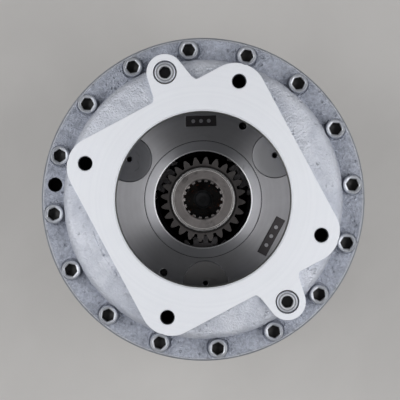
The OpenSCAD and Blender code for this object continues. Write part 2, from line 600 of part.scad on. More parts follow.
module planet_gear_2c() planet_2(2);
module planet_bush_2a() bush_2(0);
module planet_bush_2b() bush_2(1);
module planet_bush_2c() bush_2(2);
module carrier_thrust_ring() color(brass) tube(c2_top - 1, c1_z - end_gap, 67, 53);
module shaft_end_plate() color(steel) difference() {
    turned([[10, 96], [53, 96], [53, 103], [52, 104], [10, 104]]);
    around(3, 28, 90) rod(95, 105, 6.5);
}
module end_plate_bolts() color(zinc) around(3, 28, 90) translate([0, 0, 104]) {
    translate([0, 0, 0]) cylinder(h = 7.5, r = 10.4, $fn = 6);
    rod(-34, 0.5, 6);
}
module pinion_shaft() color(steel) difference() {
    union() {
        intersection() {
            translate([0, 0, pinion_z]) linear_extrude(pinion_w) polygon(
                gear_outline(12, 14, 0.4, 73.8, 100, -0.3, 0, 7));
            turned([[0, pinion_z], [96, pinion_z], [101, pinion_z + 5], [101, pinion_top - 5],
                [96, pinion_top], [0, pinion_top]]);
        }
        turned([[0, pinion_z + 20], [70, pinion_z + 20], [70, pinion_top - 1], [seal_run_r, pinion_top - 1],
            [seal_run_r, -90], [seal_run_r - 2, -88], [lower_seat_r, -88], [lower_seat_r, -45],
            [lower_seat_r - 4, -41], [lower_seat_r - 4, 28], [upper_seat_r, 34], [upper_seat_r, 74],
            [upper_seat_r - 4, 74], [upper_seat_r - 4, 95.5], [0, 95.5]]);
        intersection() {
            translate([0, 0, 73]) linear_extrude(22.5) shaft_spline(0.28, upper_seat_r - 4.5, upper_seat_r - 0.2);
            turned([[0, 70], [upper_seat_r + 1, 70], [upper_seat_r + 1, 91.5], [upper_seat_r - 3, 95.5], [0, 95.5]]);
        }
    }
    around(3, 28, 90) rod(58, 97, 6.2);
    rod(80, 97, 5);
    translate([0, 0, pinion_z - 0.01]) cylinder(h = 8, r1 = 18, r2 = 10);
    rod(pinion_z - 1, pinion_z + 45, 8.75);
}

motor_flange_cover();
ring_gear();
drive_case();
cover_bolts();
dowel_pins();
fill_plug();
level_plug();
plug_seals();
cover_o_ring();
case_o_ring();
drain_plug();
drain_seal();
upper_bearing_cup();
lower_bearing_cup();
seal_retainer();
retainer_bolts();
retainer_o_ring();
output_oil_seal();
sun_gear_1();
carrier_1();
carrier_1_wear_ring();
planet_pins_1();
lock_pins_1();
thrust_washers_1();
sun_gear_2();
sun_2_snap_ring();
thrust_pad();
planet_gear_1a();
planet_gear_1b();
planet_gear_1c();
planet_bush_1a();
planet_bush_1b();
planet_bush_1c();
pinion_shaft();
carrier_2();
planet_pins_2();
lock_pins_2();
thrust_washers_2();
carrier_thrust_ring();
shaft_end_plate();
end_plate_bolts();
upper_bearing_cone();
lower_bearing_cone();
planet_gear_2a();
planet_gear_2b();
planet_gear_2c();
planet_bush_2a();
planet_bush_2b();
planet_bush_2c();
upper_bearing_cage();
upper_bearing_rollers();
lower_bearing_cage();
lower_bearing_rollers();
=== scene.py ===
"""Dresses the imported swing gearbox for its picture: finishes, screws, threads, studio light and camera.

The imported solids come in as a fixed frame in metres, with +Z towards the motor and z = 0 on the
underside of the mounting flange. Sizes in the classes below are millimetres unless a name says
otherwise, and every class of pieces turns them into metres when it builds its meshes.
"""

from __future__ import annotations

import json
import logging
import math
from dataclasses import dataclass
from enum import Enum
from typing import Any, NamedTuple, Sequence

import bmesh
import bpy
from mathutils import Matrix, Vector

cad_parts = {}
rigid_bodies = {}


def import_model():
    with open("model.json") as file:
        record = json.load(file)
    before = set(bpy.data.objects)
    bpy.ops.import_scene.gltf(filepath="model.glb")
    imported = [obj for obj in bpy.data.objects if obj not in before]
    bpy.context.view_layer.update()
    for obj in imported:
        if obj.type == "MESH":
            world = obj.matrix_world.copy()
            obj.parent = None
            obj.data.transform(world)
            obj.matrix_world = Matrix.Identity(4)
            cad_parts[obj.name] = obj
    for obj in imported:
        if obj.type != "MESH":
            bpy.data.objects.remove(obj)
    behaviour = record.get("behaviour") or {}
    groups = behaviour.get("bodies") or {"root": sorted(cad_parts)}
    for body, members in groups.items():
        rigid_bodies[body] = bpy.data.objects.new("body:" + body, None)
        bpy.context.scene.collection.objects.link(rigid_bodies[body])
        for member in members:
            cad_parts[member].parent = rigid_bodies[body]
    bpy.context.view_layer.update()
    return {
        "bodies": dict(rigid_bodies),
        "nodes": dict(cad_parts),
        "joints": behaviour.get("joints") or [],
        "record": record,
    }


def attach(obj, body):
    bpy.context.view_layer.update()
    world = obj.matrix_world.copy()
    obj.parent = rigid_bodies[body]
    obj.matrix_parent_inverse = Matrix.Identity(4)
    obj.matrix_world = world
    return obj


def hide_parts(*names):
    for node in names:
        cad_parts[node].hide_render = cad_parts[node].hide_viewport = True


LOG = logging.getLogger("swing_gearbox")
MM = 0.001
Colour = tuple[float, float, float]

# A size in millimetres past every radius and height of the drive, and a height below all of it
FAR = 400.0
NOWHERE = -900.0

# Edges sharper than these stay sharp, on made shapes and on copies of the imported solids
MADE_SHARP_DEG = 32.0
COPY_SHARP_DEG = 30.0

# In metres: vertices closer than the first are one, and edges shorter than the second go
MERGE_GAP = 2.0e-6
LEAST_EDGE = 1.0e-6

# The Z part of the direction of a face that looks up, at least, and of an upright wall, at most
LOOKS_UP = 0.9
LOOKS_ASIDE = 0.2


def tone(red: int, green: int, blue: int) -> Colour:
    """Returns the linear colour of an 8-bit display tone.

    Args:
        red: Red, 0 to 255.
        green: Green, 0 to 255.
        blue: Blue, 0 to 255.

    Returns:
        The three linear values, 0 to 1.
    """

    def linear(value: int) -> float:
        """Returns one channel made linear."""
        c = value / 255.0
        return c / 12.92 if c <= 0.04045 else ((c + 0.055) / 1.055) ** 2.4

    return linear(red), linear(green), linear(blue)


RUST_DARK = tone(92, 50, 30)
RUST_LIGHT = tone(168, 88, 42)
DUST = tone(176, 172, 166)
# Painted shade: the near-black that finishes fade to below a height, where deep parts sit unlit
SHADE_DEEP = tone(14, 12, 13)


class Slot(str, Enum):
    """The record's material slots."""

    COVER = "cover_casting"
    CASE = "case_casting"
    TURNED = "turned_steel"
    CARRIER = "carrier_steel"
    GEAR = "gear_steel"
    GROUND = "ground_steel"
    PLATED = "plated_fasteners"
    DARK = "dark_steel"
    BRONZE = "bronze"
    COPPER = "copper_washers"
    RUBBER = "seal_rubber"


class Facing(Enum):
    """Which way a machined surface looks."""

    UP = "up"
    SIDE = "side"
    ANY = "any"


# Shader trees


class SocketPlan(NamedTuple):
    """A named socket of a node group."""

    name: str
    kind: str = "NodeSocketFloat"
    value: Any = 0.0


class ShaderSheet:
    """A node tree with short calls for the nodes that the finishes and the repeated parts use."""

    def __init__(self, tree: bpy.types.NodeTree) -> None:
        """Keeps the tree that the calls add to.

        Args:
            tree: A material's tree, the world's or a group's.
        """
        self.tree = tree
        self._place: dict[str, Any] = {}

    def add(self, kind: str, **settings: Any) -> bpy.types.Node:
        """Adds a node.

        Args:
            kind: The node's type name.
            **settings: Attributes to set on it.

        Returns:
            The node.
        """
        node = self.tree.nodes.new(kind)
        for key, value in settings.items():
            setattr(node, key, value)
        return node

    def feed(self, socket: bpy.types.NodeSocket, value: Any) -> None:
        """Links a socket to a socket, or writes a constant on it.

        Args:
            socket: The input.
            value: An output socket, a number or a tuple.
        """
        if isinstance(value, bpy.types.NodeSocket):
            self.tree.links.new(value, socket)
        elif isinstance(value, (tuple, list)) and len(value) == 3 and socket.type == "RGBA":
            socket.default_value = (*value, 1.0)
        else:
            socket.default_value = value

    def math(self, operation: str, *values: Any) -> bpy.types.NodeSocket:
        """Adds a Math node.

        Args:
            operation: Its operation.
            *values: Sockets or numbers, in order.

        Returns:
            Its value.
        """
        node = self.add("ShaderNodeMath", operation=operation)
        for socket, value in zip(node.inputs, values):
            self.feed(socket, value)
        return node.outputs[0]

    def times(self, first: Any, second: Any) -> bpy.types.NodeSocket:
        """Returns the product of two values."""
        return self.math("MULTIPLY", first, second)

    def weighed(
        self, first: Any, first_weight: float, second: Any, second_weight: float
    ) -> bpy.types.NodeSocket:
        """Adds two values, each with a weight of its own.

        Args:
            first: A value or its socket.
            first_weight: What it counts.
            second: A value or its socket.
            second_weight: What it counts.

        Returns:
            The sum.
        """
        return self.math("MULTIPLY_ADD", first, first_weight, self.times(second, second_weight))

    def length(self, x: Any, y: Any) -> bpy.types.NodeSocket:
        """Returns the length of a flat vector."""
        return self.math("SQRT", self.math("ADD", self.times(x, x), self.times(y, y)))

    def most(self, *values: Any) -> Any:
        """Chains several values through Math nodes.

        Args:
            *values: Sockets or numbers.

        Returns:
            The largest of them.
        """
        out = values[0]
        for value in values[1:]:
            out = self.math("MAXIMUM", out, value)
        return out

    def spread(
        self, value: Any, low: float, high: float, to_low: float = 0.0, to_high: float = 1.0
    ) -> bpy.types.NodeSocket:
        """Maps a value smoothly from one range to another.

        Args:
            value: The value's socket.
            low: Where the first range starts.
            high: Where it ends.
            to_low: What low becomes.
            to_high: What high becomes.

        Returns:
            The mapped value.
        """
        node = self.add("ShaderNodeMapRange", interpolation_type="SMOOTHSTEP")
        for socket, given in zip(node.inputs, (value, low, high, to_low, to_high)):
            self.feed(socket, given)
        return node.outputs[0]

    def mix(self, share: Any, first: Any, second: Any) -> bpy.types.NodeSocket:
        """Mixes two colours.

        Args:
            share: How much of the second one.
            first: A colour or its socket.
            second: A colour or its socket.

        Returns:
            The mixed colour.
        """
        node = self.add("ShaderNodeMix", data_type="RGBA", clamp_factor=True)
        self.feed(node.inputs[0], share)
        self.feed(node.inputs[6], first)
        self.feed(node.inputs[7], second)
        return node.outputs[2]

    def between(self, share: Any, first: Any, second: Any) -> bpy.types.NodeSocket:
        """Mixes two plain values.

        Args:
            share: How much of the second one.
            first: A value or its socket.
            second: A value or its socket.

        Returns:
            The mixed value.
        """
        node = self.add("ShaderNodeMix", data_type="FLOAT", clamp_factor=True)
        for socket, value in zip((node.inputs[0], node.inputs[2], node.inputs[3]), (share, first, second)):
            self.feed(socket, value)
        return node.outputs[0]

    def noise(
        self, where: Any, scale: Any, detail: float = 3.0, roughness: float = 0.5, bend: float = 0.0
    ) -> bpy.types.NodeSocket:
        """Adds three-dimensional noise.

        Args:
            where: The place, in millimetres.
            scale: Lumps per millimetre.
            detail: Octaves.
            roughness: How strong the finer ones are.
            bend: Distortion.

        Returns:
            A value about 0.5.
        """
        node = self.add("ShaderNodeTexNoise", noise_dimensions="3D")
        self.feed(node.inputs["Vector"], where)
        self.feed(node.inputs["Scale"], scale)
        self.feed(node.inputs["Detail"], detail)
        self.feed(node.inputs["Roughness"], roughness)
        self.feed(node.inputs["Distortion"], bend)
        return node.outputs["Fac"]

    def line_noise(self, along: Any, scale: Any, detail: float = 2.0) -> bpy.types.NodeSocket:
        """Adds noise along one line, for the marks of a tool.

        Args:
            along: The place on the line, in millimetres.
            scale: Marks per millimetre.
            detail: Octaves.

        Returns:
            A value about 0.5.
        """
        node = self.add("ShaderNodeTexNoise", noise_dimensions="1D")
        self.feed(node.inputs["W"], along)
        self.feed(node.inputs["Scale"], scale)
        self.feed(node.inputs["Detail"], detail)
        return node.outputs["Fac"]

    def place(self) -> dict[str, Any]:
        """Finds the point on the piece, once for the whole sheet.

        Returns:
            The point in millimetres, as a vector, x, y, z and the distance from the drive's axis.
        """
        if not self._place:
            coord = self.add("ShaderNodeTexCoord")
            scaled = self.add("ShaderNodeVectorMath", operation="SCALE")
            self.feed(scaled.inputs[0], coord.outputs["Object"])
            scaled.inputs["Scale"].default_value = 1.0 / MM
            split = self.add("ShaderNodeSeparateXYZ")
            self.feed(split.inputs[0], scaled.outputs[0])
            x, y, z = split.outputs
            self._place = {"at": scaled.outputs[0], "x": x, "y": y, "z": z, "r": self.length(x, y)}
        return self._place

    def facing(self) -> bpy.types.NodeSocket:
        """Finds which way the surface looks, once for the whole sheet.

        Returns:
            The Z part of its direction, from -1 to 1.
        """
        if "n" not in self._place:
            self.place()
            split = self.add("ShaderNodeSeparateXYZ")
            self.feed(split.inputs[0], self.add("ShaderNodeNewGeometry").outputs["Normal"])
            self._place["n"] = split.outputs[2]
        return self._place["n"]

    def bump(self, height: Any, reach: float, normal: Any = None) -> bpy.types.NodeSocket:
        """Adds a Bump node.

        Args:
            height: The height's socket, 0 to 1.
            reach: The height of 1, in millimetres.
            normal: The normal to start from, if there is one.

        Returns:
            The new normal.
        """
        node = self.add("ShaderNodeBump")
        node.inputs["Strength"].default_value = 1.0
        node.inputs["Distance"].default_value = reach * MM
        self.feed(node.inputs["Height"], height)
        if normal is not None:
            self.feed(node.inputs["Normal"], normal)
        return node.outputs[0]

    def use(self, group: bpy.types.NodeTree, **values: Any) -> bpy.types.Node:
        """Places a shared group.

        Args:
            group: The group.
            **values: Its inputs, with underscores for the spaces.

        Returns:
            The group node.
        """
        node = self.add("ShaderNodeGroup", node_tree=group)
        for key, value in values.items():
            self.feed(node.inputs[key.replace("_", " ")], value)
        return node


class Effects:
    """The shared node groups, built once and placed in each finish with its own values."""

    def __init__(self) -> None:
        """Builds every group."""
        self.centres = self._centres()
        self.tool_lay = self._tool_lay()
        self.cast_skin = self._cast_skin()
        self.oil_film = self._oil_film()
        self.edge_wear = self._edge_wear()
        self.rust_bloom = self._rust_bloom()
        self.fine_dust = self._fine_dust()

    @staticmethod
    def _open(
        name: str, inputs: Sequence[SocketPlan], outputs: Sequence[SocketPlan]
    ) -> tuple[ShaderSheet, Any, Any]:
        """Starts a group.

        Args:
            name: The group's name.
            inputs: Its inputs.
            outputs: Its outputs.

        Returns:
            Its sheet, its inputs' sockets and its outputs' sockets.
        """
        tree = bpy.data.node_groups.new(name, "ShaderNodeTree")
        for plan in inputs:
            socket = tree.interface.new_socket(plan.name, in_out="INPUT", socket_type=plan.kind)
            socket.default_value = plan.value
        for plan in outputs:
            tree.interface.new_socket(plan.name, in_out="OUTPUT", socket_type=plan.kind)
        sheet = ShaderSheet(tree)
        return sheet, sheet.add("NodeGroupInput").outputs, sheet.add("NodeGroupOutput").inputs

    def _centres(self) -> bpy.types.NodeTree:
        """Folds a ring of equal centres onto one, so that a finish can follow each of them.

        Returns:
            The group.
        """
        s, given, made = self._open(
            "ring of centres",
            (SocketPlan("Count", value=1.0), SocketPlan("Phase"), SocketPlan("Ring Radius")),
            (SocketPlan("Distance"),),
        )
        p = s.place()
        step = s.math("DIVIDE", math.tau, given["Count"])
        angle = s.math("SUBTRACT", s.math("ARCTAN2", p["y"], p["x"]), given["Phase"])
        near = s.times(s.math("ROUND", s.math("DIVIDE", angle, step)), step)
        at = s.math("ADD", near, given["Phase"])
        dx = s.math("SUBTRACT", p["x"], s.times(given["Ring Radius"], s.math("COSINE", at)))
        dy = s.math("SUBTRACT", p["y"], s.times(given["Ring Radius"], s.math("SINE", at)))
        s.feed(made["Distance"], s.length(dx, dy))
        return s.tree

    def _tool_lay(self) -> bpy.types.NodeTree:
        """Leaves a turning tool's rings, on faces by radius and on walls by height.

        Returns:
            The group.
        """
        s, given, made = self._open(
            "tool lay",
            (
                SocketPlan("Count", value=1.0),
                SocketPlan("Phase"),
                SocketPlan("Ring Radius"),
                SocketPlan("Pitch", value=0.5),
            ),
            (SocketPlan("Height"), SocketPlan("Bands")),
        )
        ring = {"Count": given["Count"], "Phase": given["Phase"], "Ring_Radius": given["Ring Radius"]}
        away = s.use(self.centres, **ring).outputs["Distance"]
        along = s.math("MULTIPLY_ADD", s.place()["z"], 0.731, away)
        fine = s.line_noise(along, s.math("DIVIDE", 1.0, given["Pitch"]), 3.0)
        wide = s.line_noise(s.math("ADD", along, 37.0), s.math("DIVIDE", 0.11, given["Pitch"]), 2.0)
        drift = s.noise(s.place()["at"], 0.035, 2.0)
        s.feed(made["Height"], s.weighed(wide, 0.35, fine, 0.65))
        s.feed(made["Bands"], s.spread(s.weighed(drift, 0.45, wide, 0.65), 0.36, 0.72))
        return s.tree

    def _cast_skin(self) -> bpy.types.NodeTree:
        """Gives a sand casting's grain, its pits, its rubbed high spots and its slow changes of tone.

        Returns:
            The group.
        """
        s, given, made = self._open(
            "cast skin",
            (SocketPlan("Grain", value=1.0), SocketPlan("Blotch", value=30.0)),
            (SocketPlan("Height"), SocketPlan("Tone"), SocketPlan("Pits"), SocketPlan("Rubbed")),
        )
        at = s.place()["at"]
        sand = s.noise(at, s.math("DIVIDE", 1.0, given["Grain"]), 6.0, 0.62)
        lumps = s.noise(at, s.math("DIVIDE", 0.16, given["Grain"]), 3.0, 0.5, 0.4)
        holes = s.add("ShaderNodeTexVoronoi", feature="F1", distance="EUCLIDEAN")
        s.feed(holes.inputs["Vector"], at)
        s.feed(holes.inputs["Scale"], s.math("DIVIDE", 0.36, given["Grain"]))
        pick = s.spread(s.noise(at, s.math("DIVIDE", 0.22, given["Grain"]), 1.0), 0.52, 0.62)
        pits = s.times(s.spread(holes.outputs["Distance"], 0.34, 0.12), pick)
        s.feed(made["Height"], s.math("MULTIPLY_ADD", pits, -0.38, s.weighed(lumps, 0.6, sand, 0.5)))
        broad = s.noise(at, s.math("DIVIDE", 1.0, given["Blotch"]), 4.0, 0.55, 0.6)
        s.feed(made["Tone"], s.spread(s.weighed(sand, 0.3, broad, 0.7), 0.33, 0.67))
        s.feed(made["Pits"], pits)
        rubbed = s.noise(at, s.math("DIVIDE", 0.55, given["Grain"]), 5.0, 0.75, 0.3)
        s.feed(made["Rubbed"], s.spread(rubbed, 0.4, 0.6))
        return s.tree

    def _oil_film(self) -> bpy.types.NodeTree:
        """Marks the soft patches where assembly oil lies.

        Returns:
            The group.
        """
        s, given, made = self._open(
            "oil film",
            (SocketPlan("Patch", value=12.0), SocketPlan("Amount", value=0.5)),
            (SocketPlan("Film"),),
        )
        patch = s.noise(s.place()["at"], s.math("DIVIDE", 1.0, given["Patch"]), 4.0, 0.55, 1.1)
        edge = s.math("SUBTRACT", 0.78, s.times(given["Amount"], 0.5))
        s.feed(made["Film"], s.spread(s.math("SUBTRACT", patch, edge), -0.08, 0.1))
        return s.tree

    def _edge_wear(self) -> bpy.types.NodeTree:
        """Rounds the look of sharp edges and marks them, broken up by a fine noise.

        Returns:
            The group.
        """
        s, given, made = self._open(
            "edge wear",
            (SocketPlan("Reach", value=0.8 * MM), SocketPlan("Break Up", value=0.35)),
            (SocketPlan("Normal", "NodeSocketVector"), SocketPlan("Worn")),
        )
        soft = s.add("ShaderNodeBevel", samples=4)
        s.feed(soft.inputs["Radius"], given["Reach"])
        dot = s.add("ShaderNodeVectorMath", operation="DOT_PRODUCT")
        s.feed(dot.inputs[0], soft.outputs[0])
        s.feed(dot.inputs[1], s.add("ShaderNodeNewGeometry").outputs["Normal"])
        away = s.math("SUBTRACT", 1.0, dot.outputs["Value"])
        rough = s.math("SUBTRACT", s.noise(s.place()["at"], 0.45, 5.0, 0.6), 0.5)
        chip = s.times(rough, given["Break Up"])
        s.feed(made["Normal"], soft.outputs[0])
        s.feed(made["Worn"], s.spread(s.math("ADD", away, chip), 0.03, 0.16))
        return s.tree

    def _rust_bloom(self) -> bpy.types.NodeTree:
        """Scatters the light rust that bare steel gathers in store.

        Returns:
            The group.
        """
        s, given, made = self._open(
            "rust bloom",
            (SocketPlan("Spot", value=4.0), SocketPlan("Amount", value=0.4)),
            (SocketPlan("Colour", "NodeSocketColor"), SocketPlan("Mask")),
        )
        at = s.place()["at"]
        spots = s.noise(at, s.math("DIVIDE", 1.0, given["Spot"]), 6.0, 0.66, 0.8)
        edge = s.math("SUBTRACT", 0.74, s.times(given["Amount"], 0.4))
        s.feed(made["Mask"], s.spread(s.math("SUBTRACT", spots, edge), -0.05, 0.08))
        s.feed(made["Colour"], s.mix(s.noise(at, 1.4, 3.0), RUST_DARK, RUST_LIGHT))
        return s.tree

    def _fine_dust(self) -> bpy.types.NodeTree:
        """Settles a little pale dust on what looks up.

        Returns:
            The group.
        """
        s, given, made = self._open("fine dust", (SocketPlan("Amount", value=0.3),), (SocketPlan("Mask"),))
        lies = s.spread(s.facing(), 0.35, 0.95)
        specks = s.spread(s.noise(s.place()["at"], 0.9, 5.0, 0.7), 0.5, 0.75)
        drift = s.spread(s.noise(s.place()["at"], 0.02, 3.0, 0.5), 0.35, 0.7)
        laid = s.times(lies, s.weighed(specks, 0.6, drift, 0.4))
        s.feed(made["Mask"], s.times(laid, given["Amount"]))
        return s.tree


# Finishes


@dataclass(frozen=True)
class Centres:
    """A ring of equal centres that a finish follows, such as the bolts or the planet pins."""

    count: int = 1
    phase_deg: float = 0.0
    ring_radius: float = 0.0

    def inputs(self) -> dict[str, float]:
        """Returns the values for a group that folds by these centres."""
        phase = math.radians(self.phase_deg)
        return {"Count": float(self.count), "Phase": phase, "Ring_Radius": self.ring_radius}


@dataclass(frozen=True)
class Cut:
    """A place on a piece, by height, by distance from its centres and by facing."""

    z: tuple[float, float]
    r: tuple[float, float] = (0.0, FAR)
    facing: Facing = Facing.ANY
    centres: Centres = Centres()

    def mask(self, s: ShaderSheet, effects: Effects) -> bpy.types.NodeSocket:
        """Builds the place's mask.

        Args:
            s: The material's sheet.
            effects: The shared groups.

        Returns:
            1 inside the place and 0 outside it.
        """
        p = s.place()
        away = p["r"]
        if self.centres.ring_radius:
            away = s.use(effects.centres, **self.centres.inputs()).outputs["Distance"]
        parts = [s.math("GREATER_THAN", p["z"], self.z[0]), s.math("LESS_THAN", p["z"], self.z[1])]
        if self.r[0] > 0.0:
            parts.append(s.math("GREATER_THAN", away, self.r[0]))
        if self.r[1] < FAR:
            parts.append(s.math("LESS_THAN", away, self.r[1]))
        if self.facing is Facing.UP:
            parts.append(s.math("GREATER_THAN", s.facing(), LOOKS_UP))
        elif self.facing is Facing.SIDE:
            parts.append(s.math("LESS_THAN", s.math("ABSOLUTE", s.facing()), LOOKS_ASIDE))
        out = parts[0]
        for part in parts[1:]:
            out = s.times(out, part)
        return out


class Zone(NamedTuple):
    """A zone with a tone of its own, such as painted shade in a recess, a seam or on the wall of a bore, or
    a painted highlight on an edge.
    """

    where: Cut
    tone: Colour
    share: float = 1.0


class Finish:
    """What every finish shares: a material, made once, that its own class fills."""

    name: str
    zones: tuple[Zone, ...] = ()

    def material(self, effects: Effects) -> bpy.types.Material:
        """Returns the finish's material, and makes it the first time.

        Args:
            effects: The shared groups.

        Returns:
            The material.
        """
        found = bpy.data.materials.get(self.name)
        if found is not None:
            return found
        made = bpy.data.materials.new(self.name)
        made.use_nodes = True
        made.node_tree.nodes.clear()
        sheet = ShaderSheet(made.node_tree)
        shader = sheet.add("ShaderNodeBsdfPrincipled")
        sheet.feed(sheet.add("ShaderNodeOutputMaterial").inputs["Surface"], shader.outputs[0])
        self.fill(sheet, shader, effects)
        return made

    def fill(self, s: ShaderSheet, shader: bpy.types.Node, effects: Effects) -> None:
        """Builds the finish's nodes; each finish has its own."""
        raise NotImplementedError

    def zoned(self, s: ShaderSheet, effects: Effects, colour: Any) -> Any:
        """Lays the zones' tones over a colour, painted shade and painted highlights among them.

        Args:
            s: The material's sheet.
            effects: The shared groups.
            colour: The colour outside the zones.

        Returns:
            The colour with every zone laid over it in turn.
        """
        for zone in self.zones:
            colour = s.mix(s.times(zone.where.mask(s, effects), zone.share), colour, zone.tone)
        return colour


@dataclass(frozen=True)
class CastFinish(Finish):
    """A sand casting: one skin above a height and another below it, bare cuts, and zones of a tone."""

    name: str
    skin: Colour
    skin_dark: Colour
    bare: Colour
    bare_dark: Colour
    cuts: tuple[Cut, ...]
    grain: float = 0.9
    blotch: float = 34.0
    relief: float = 0.55
    skin_rough: float = 0.56
    skin_metal: float = 0.25
    bare_rough: float = 0.4
    bare_metal: float = 0.45
    pitch: float = 0.55
    lay_depth: float = 0.02
    dust: float = 0.2
    lay: Centres = Centres()
    bands: float = 1.0
    low_z: float = NOWHERE
    low_skin: Colour = (0.2, 0.2, 0.2)
    low_dark: Colour = (0.15, 0.15, 0.15)
    low_metal: float = 0.2
    low_relief: float = 1.0
    speckle: float = 0.4
    zones: tuple[Zone, ...] = ()

    def fill(self, s: ShaderSheet, shader: bpy.types.Node, effects: Effects) -> None:
        """Mixes the cast skin with the machined zones.

        Args:
            s: The material's sheet.
            shader: Its Principled shader.
            effects: The shared groups.
        """
        cut = s.most(*(place.mask(s, effects) for place in self.cuts))
        skin = s.use(effects.cast_skin, Grain=self.grain, Blotch=self.blotch)
        lay = s.use(effects.tool_lay, Pitch=self.pitch, **self.lay.inputs())
        edge = s.use(effects.edge_wear, Reach=0.9 * MM, Break_Up=0.1)
        dust = s.use(effects.fine_dust, Amount=self.dust).outputs["Mask"]
        low = s.spread(s.place()["z"], self.low_z + 1.2, self.low_z - 0.6)
        light = s.mix(low, self.skin, self.low_skin)
        dim = s.mix(low, self.skin_dark, self.low_dark)
        speckled = s.math("MULTIPLY_ADD", low, self.speckle, 0.12)
        rubbed = s.between(speckled, skin.outputs["Tone"], skin.outputs["Rubbed"])
        rough_side = s.mix(rubbed, dim, light)
        rough_side = s.mix(s.times(skin.outputs["Pits"], 0.6), rough_side, dim)
        rings = s.between(self.bands, 0.7, lay.outputs["Bands"])
        cut_side = s.mix(rings, self.bare_dark, self.bare)
        colour = s.mix(cut, rough_side, cut_side)
        colour = s.mix(s.times(edge.outputs["Worn"], 0.35), colour, self.bare)
        colour = s.mix(dust, colour, DUST)
        s.feed(shader.inputs["Base Color"], self.zoned(s, effects, colour))
        rough = s.between(skin.outputs["Tone"], self.skin_rough + 0.1, self.skin_rough - 0.05)
        rough = s.between(cut, rough, s.between(rings, self.bare_rough + 0.06, self.bare_rough - 0.04))
        s.feed(shader.inputs["Roughness"], s.math("MULTIPLY_ADD", dust, 0.3, rough))
        metal = s.between(low, self.skin_metal, self.low_metal)
        s.feed(shader.inputs["Metallic"], s.between(cut, metal, self.bare_metal))
        rise = s.times(skin.outputs["Height"], s.between(low, 1.0, self.low_relief))
        height = s.between(cut, rise, s.times(lay.outputs["Height"], self.lay_depth))
        s.feed(shader.inputs["Normal"], s.bump(height, self.relief, edge.outputs["Normal"]))


@dataclass(frozen=True)
class TurnedFinish(Finish):
    """Bare metal with tool rings and some oil, and where asked painted shade on upright faces, painted
    shade below a height, and rust.
    """

    name: str
    bright: Colour
    dull: Colour
    rough: float = 0.34
    metal: float = 0.9
    pitch: float = 0.45
    relief: float = 0.012
    lay: Centres = Centres()
    oil: float = 0.35
    oil_tone: float = 0.55
    flank_shade: float = 1.0
    wear: float = 0.5
    rust: float = 0.0
    rust_inside: float = FAR
    stretch: float = 0.0
    bands: float = 1.0
    zones: tuple[Zone, ...] = ()
    shade_below: float = NOWHERE
    shade: float = 0.6

    def fill(self, s: ShaderSheet, shader: bpy.types.Node, effects: Effects) -> None:
        """Lays tool rings, oil, worn edges and rust over bare metal, and where asked painted shade.

        Args:
            s: The material's sheet.
            shader: Its Principled shader.
            effects: The shared groups.
        """
        lay = s.use(effects.tool_lay, Pitch=self.pitch, **self.lay.inputs())
        film = s.use(effects.oil_film, Patch=15.0, Amount=self.oil)
        edge = s.use(effects.edge_wear, Reach=0.6 * MM, Break_Up=0.14)
        grime = s.spread(s.noise(s.place()["at"], 0.05, 5.0, 0.6, 0.5), 0.35, 0.7)
        bands = s.between(self.bands, 0.5, lay.outputs["Bands"])
        colour = s.mix(s.weighed(grime, 0.4, bands, 0.6), self.dull, self.bright)
        # Painted shade: below shade_below the colour fades towards a near-black
        if self.shade_below > NOWHERE:
            sunk = s.spread(s.place()["z"], self.shade_below, self.shade_below - 3.0, 0.0, self.shade)
            colour = s.mix(sunk, colour, SHADE_DEEP)
        # Painted shade: faces that look sideways are darkened to a share of the dull tone
        if self.flank_shade < 1.0:
            side = s.spread(s.math("ABSOLUTE", s.facing()), 0.75, 0.35)
            colour = s.mix(side, colour, tuple(part * self.flank_shade for part in self.dull))
        oiled = tuple(part * 0.45 for part in self.dull)
        colour = s.mix(s.times(film.outputs["Film"], self.oil_tone), colour, oiled)
        colour = s.mix(s.times(edge.outputs["Worn"], self.wear), colour, self.bright)
        rough = s.between(bands, self.rough + 0.07, self.rough - 0.05)
        rough = s.between(s.times(film.outputs["Film"], 0.6), rough, self.rough * 0.6)
        metal: Any = self.metal
        if self.rust > 0.0:
            bloom = s.use(effects.rust_bloom, Spot=3.2, Amount=self.rust)
            inside = s.math("LESS_THAN", s.place()["r"], self.rust_inside)
            mask = s.times(bloom.outputs["Mask"], inside)
            colour = s.mix(mask, colour, bloom.outputs["Colour"])
            rough = s.between(mask, rough, 0.8)
            metal = s.between(mask, self.metal, 0.1)
        s.feed(shader.inputs["Base Color"], self.zoned(s, effects, colour))
        s.feed(shader.inputs["Roughness"], rough)
        s.feed(shader.inputs["Metallic"], metal)
        s.feed(shader.inputs["Coat Weight"], s.times(film.outputs["Film"], 0.5))
        shader.inputs["Coat Roughness"].default_value = 0.12
        if self.stretch:
            shader.inputs["Anisotropic"].default_value = self.stretch
            shader.inputs["Anisotropic Rotation"].default_value = 0.25
            tangent = s.add("ShaderNodeTangent", direction_type="RADIAL", axis="Z")
            s.feed(shader.inputs["Tangent"], tangent.outputs[0])
        s.feed(shader.inputs["Normal"], s.bump(lay.outputs["Height"], self.relief, edge.outputs["Normal"]))


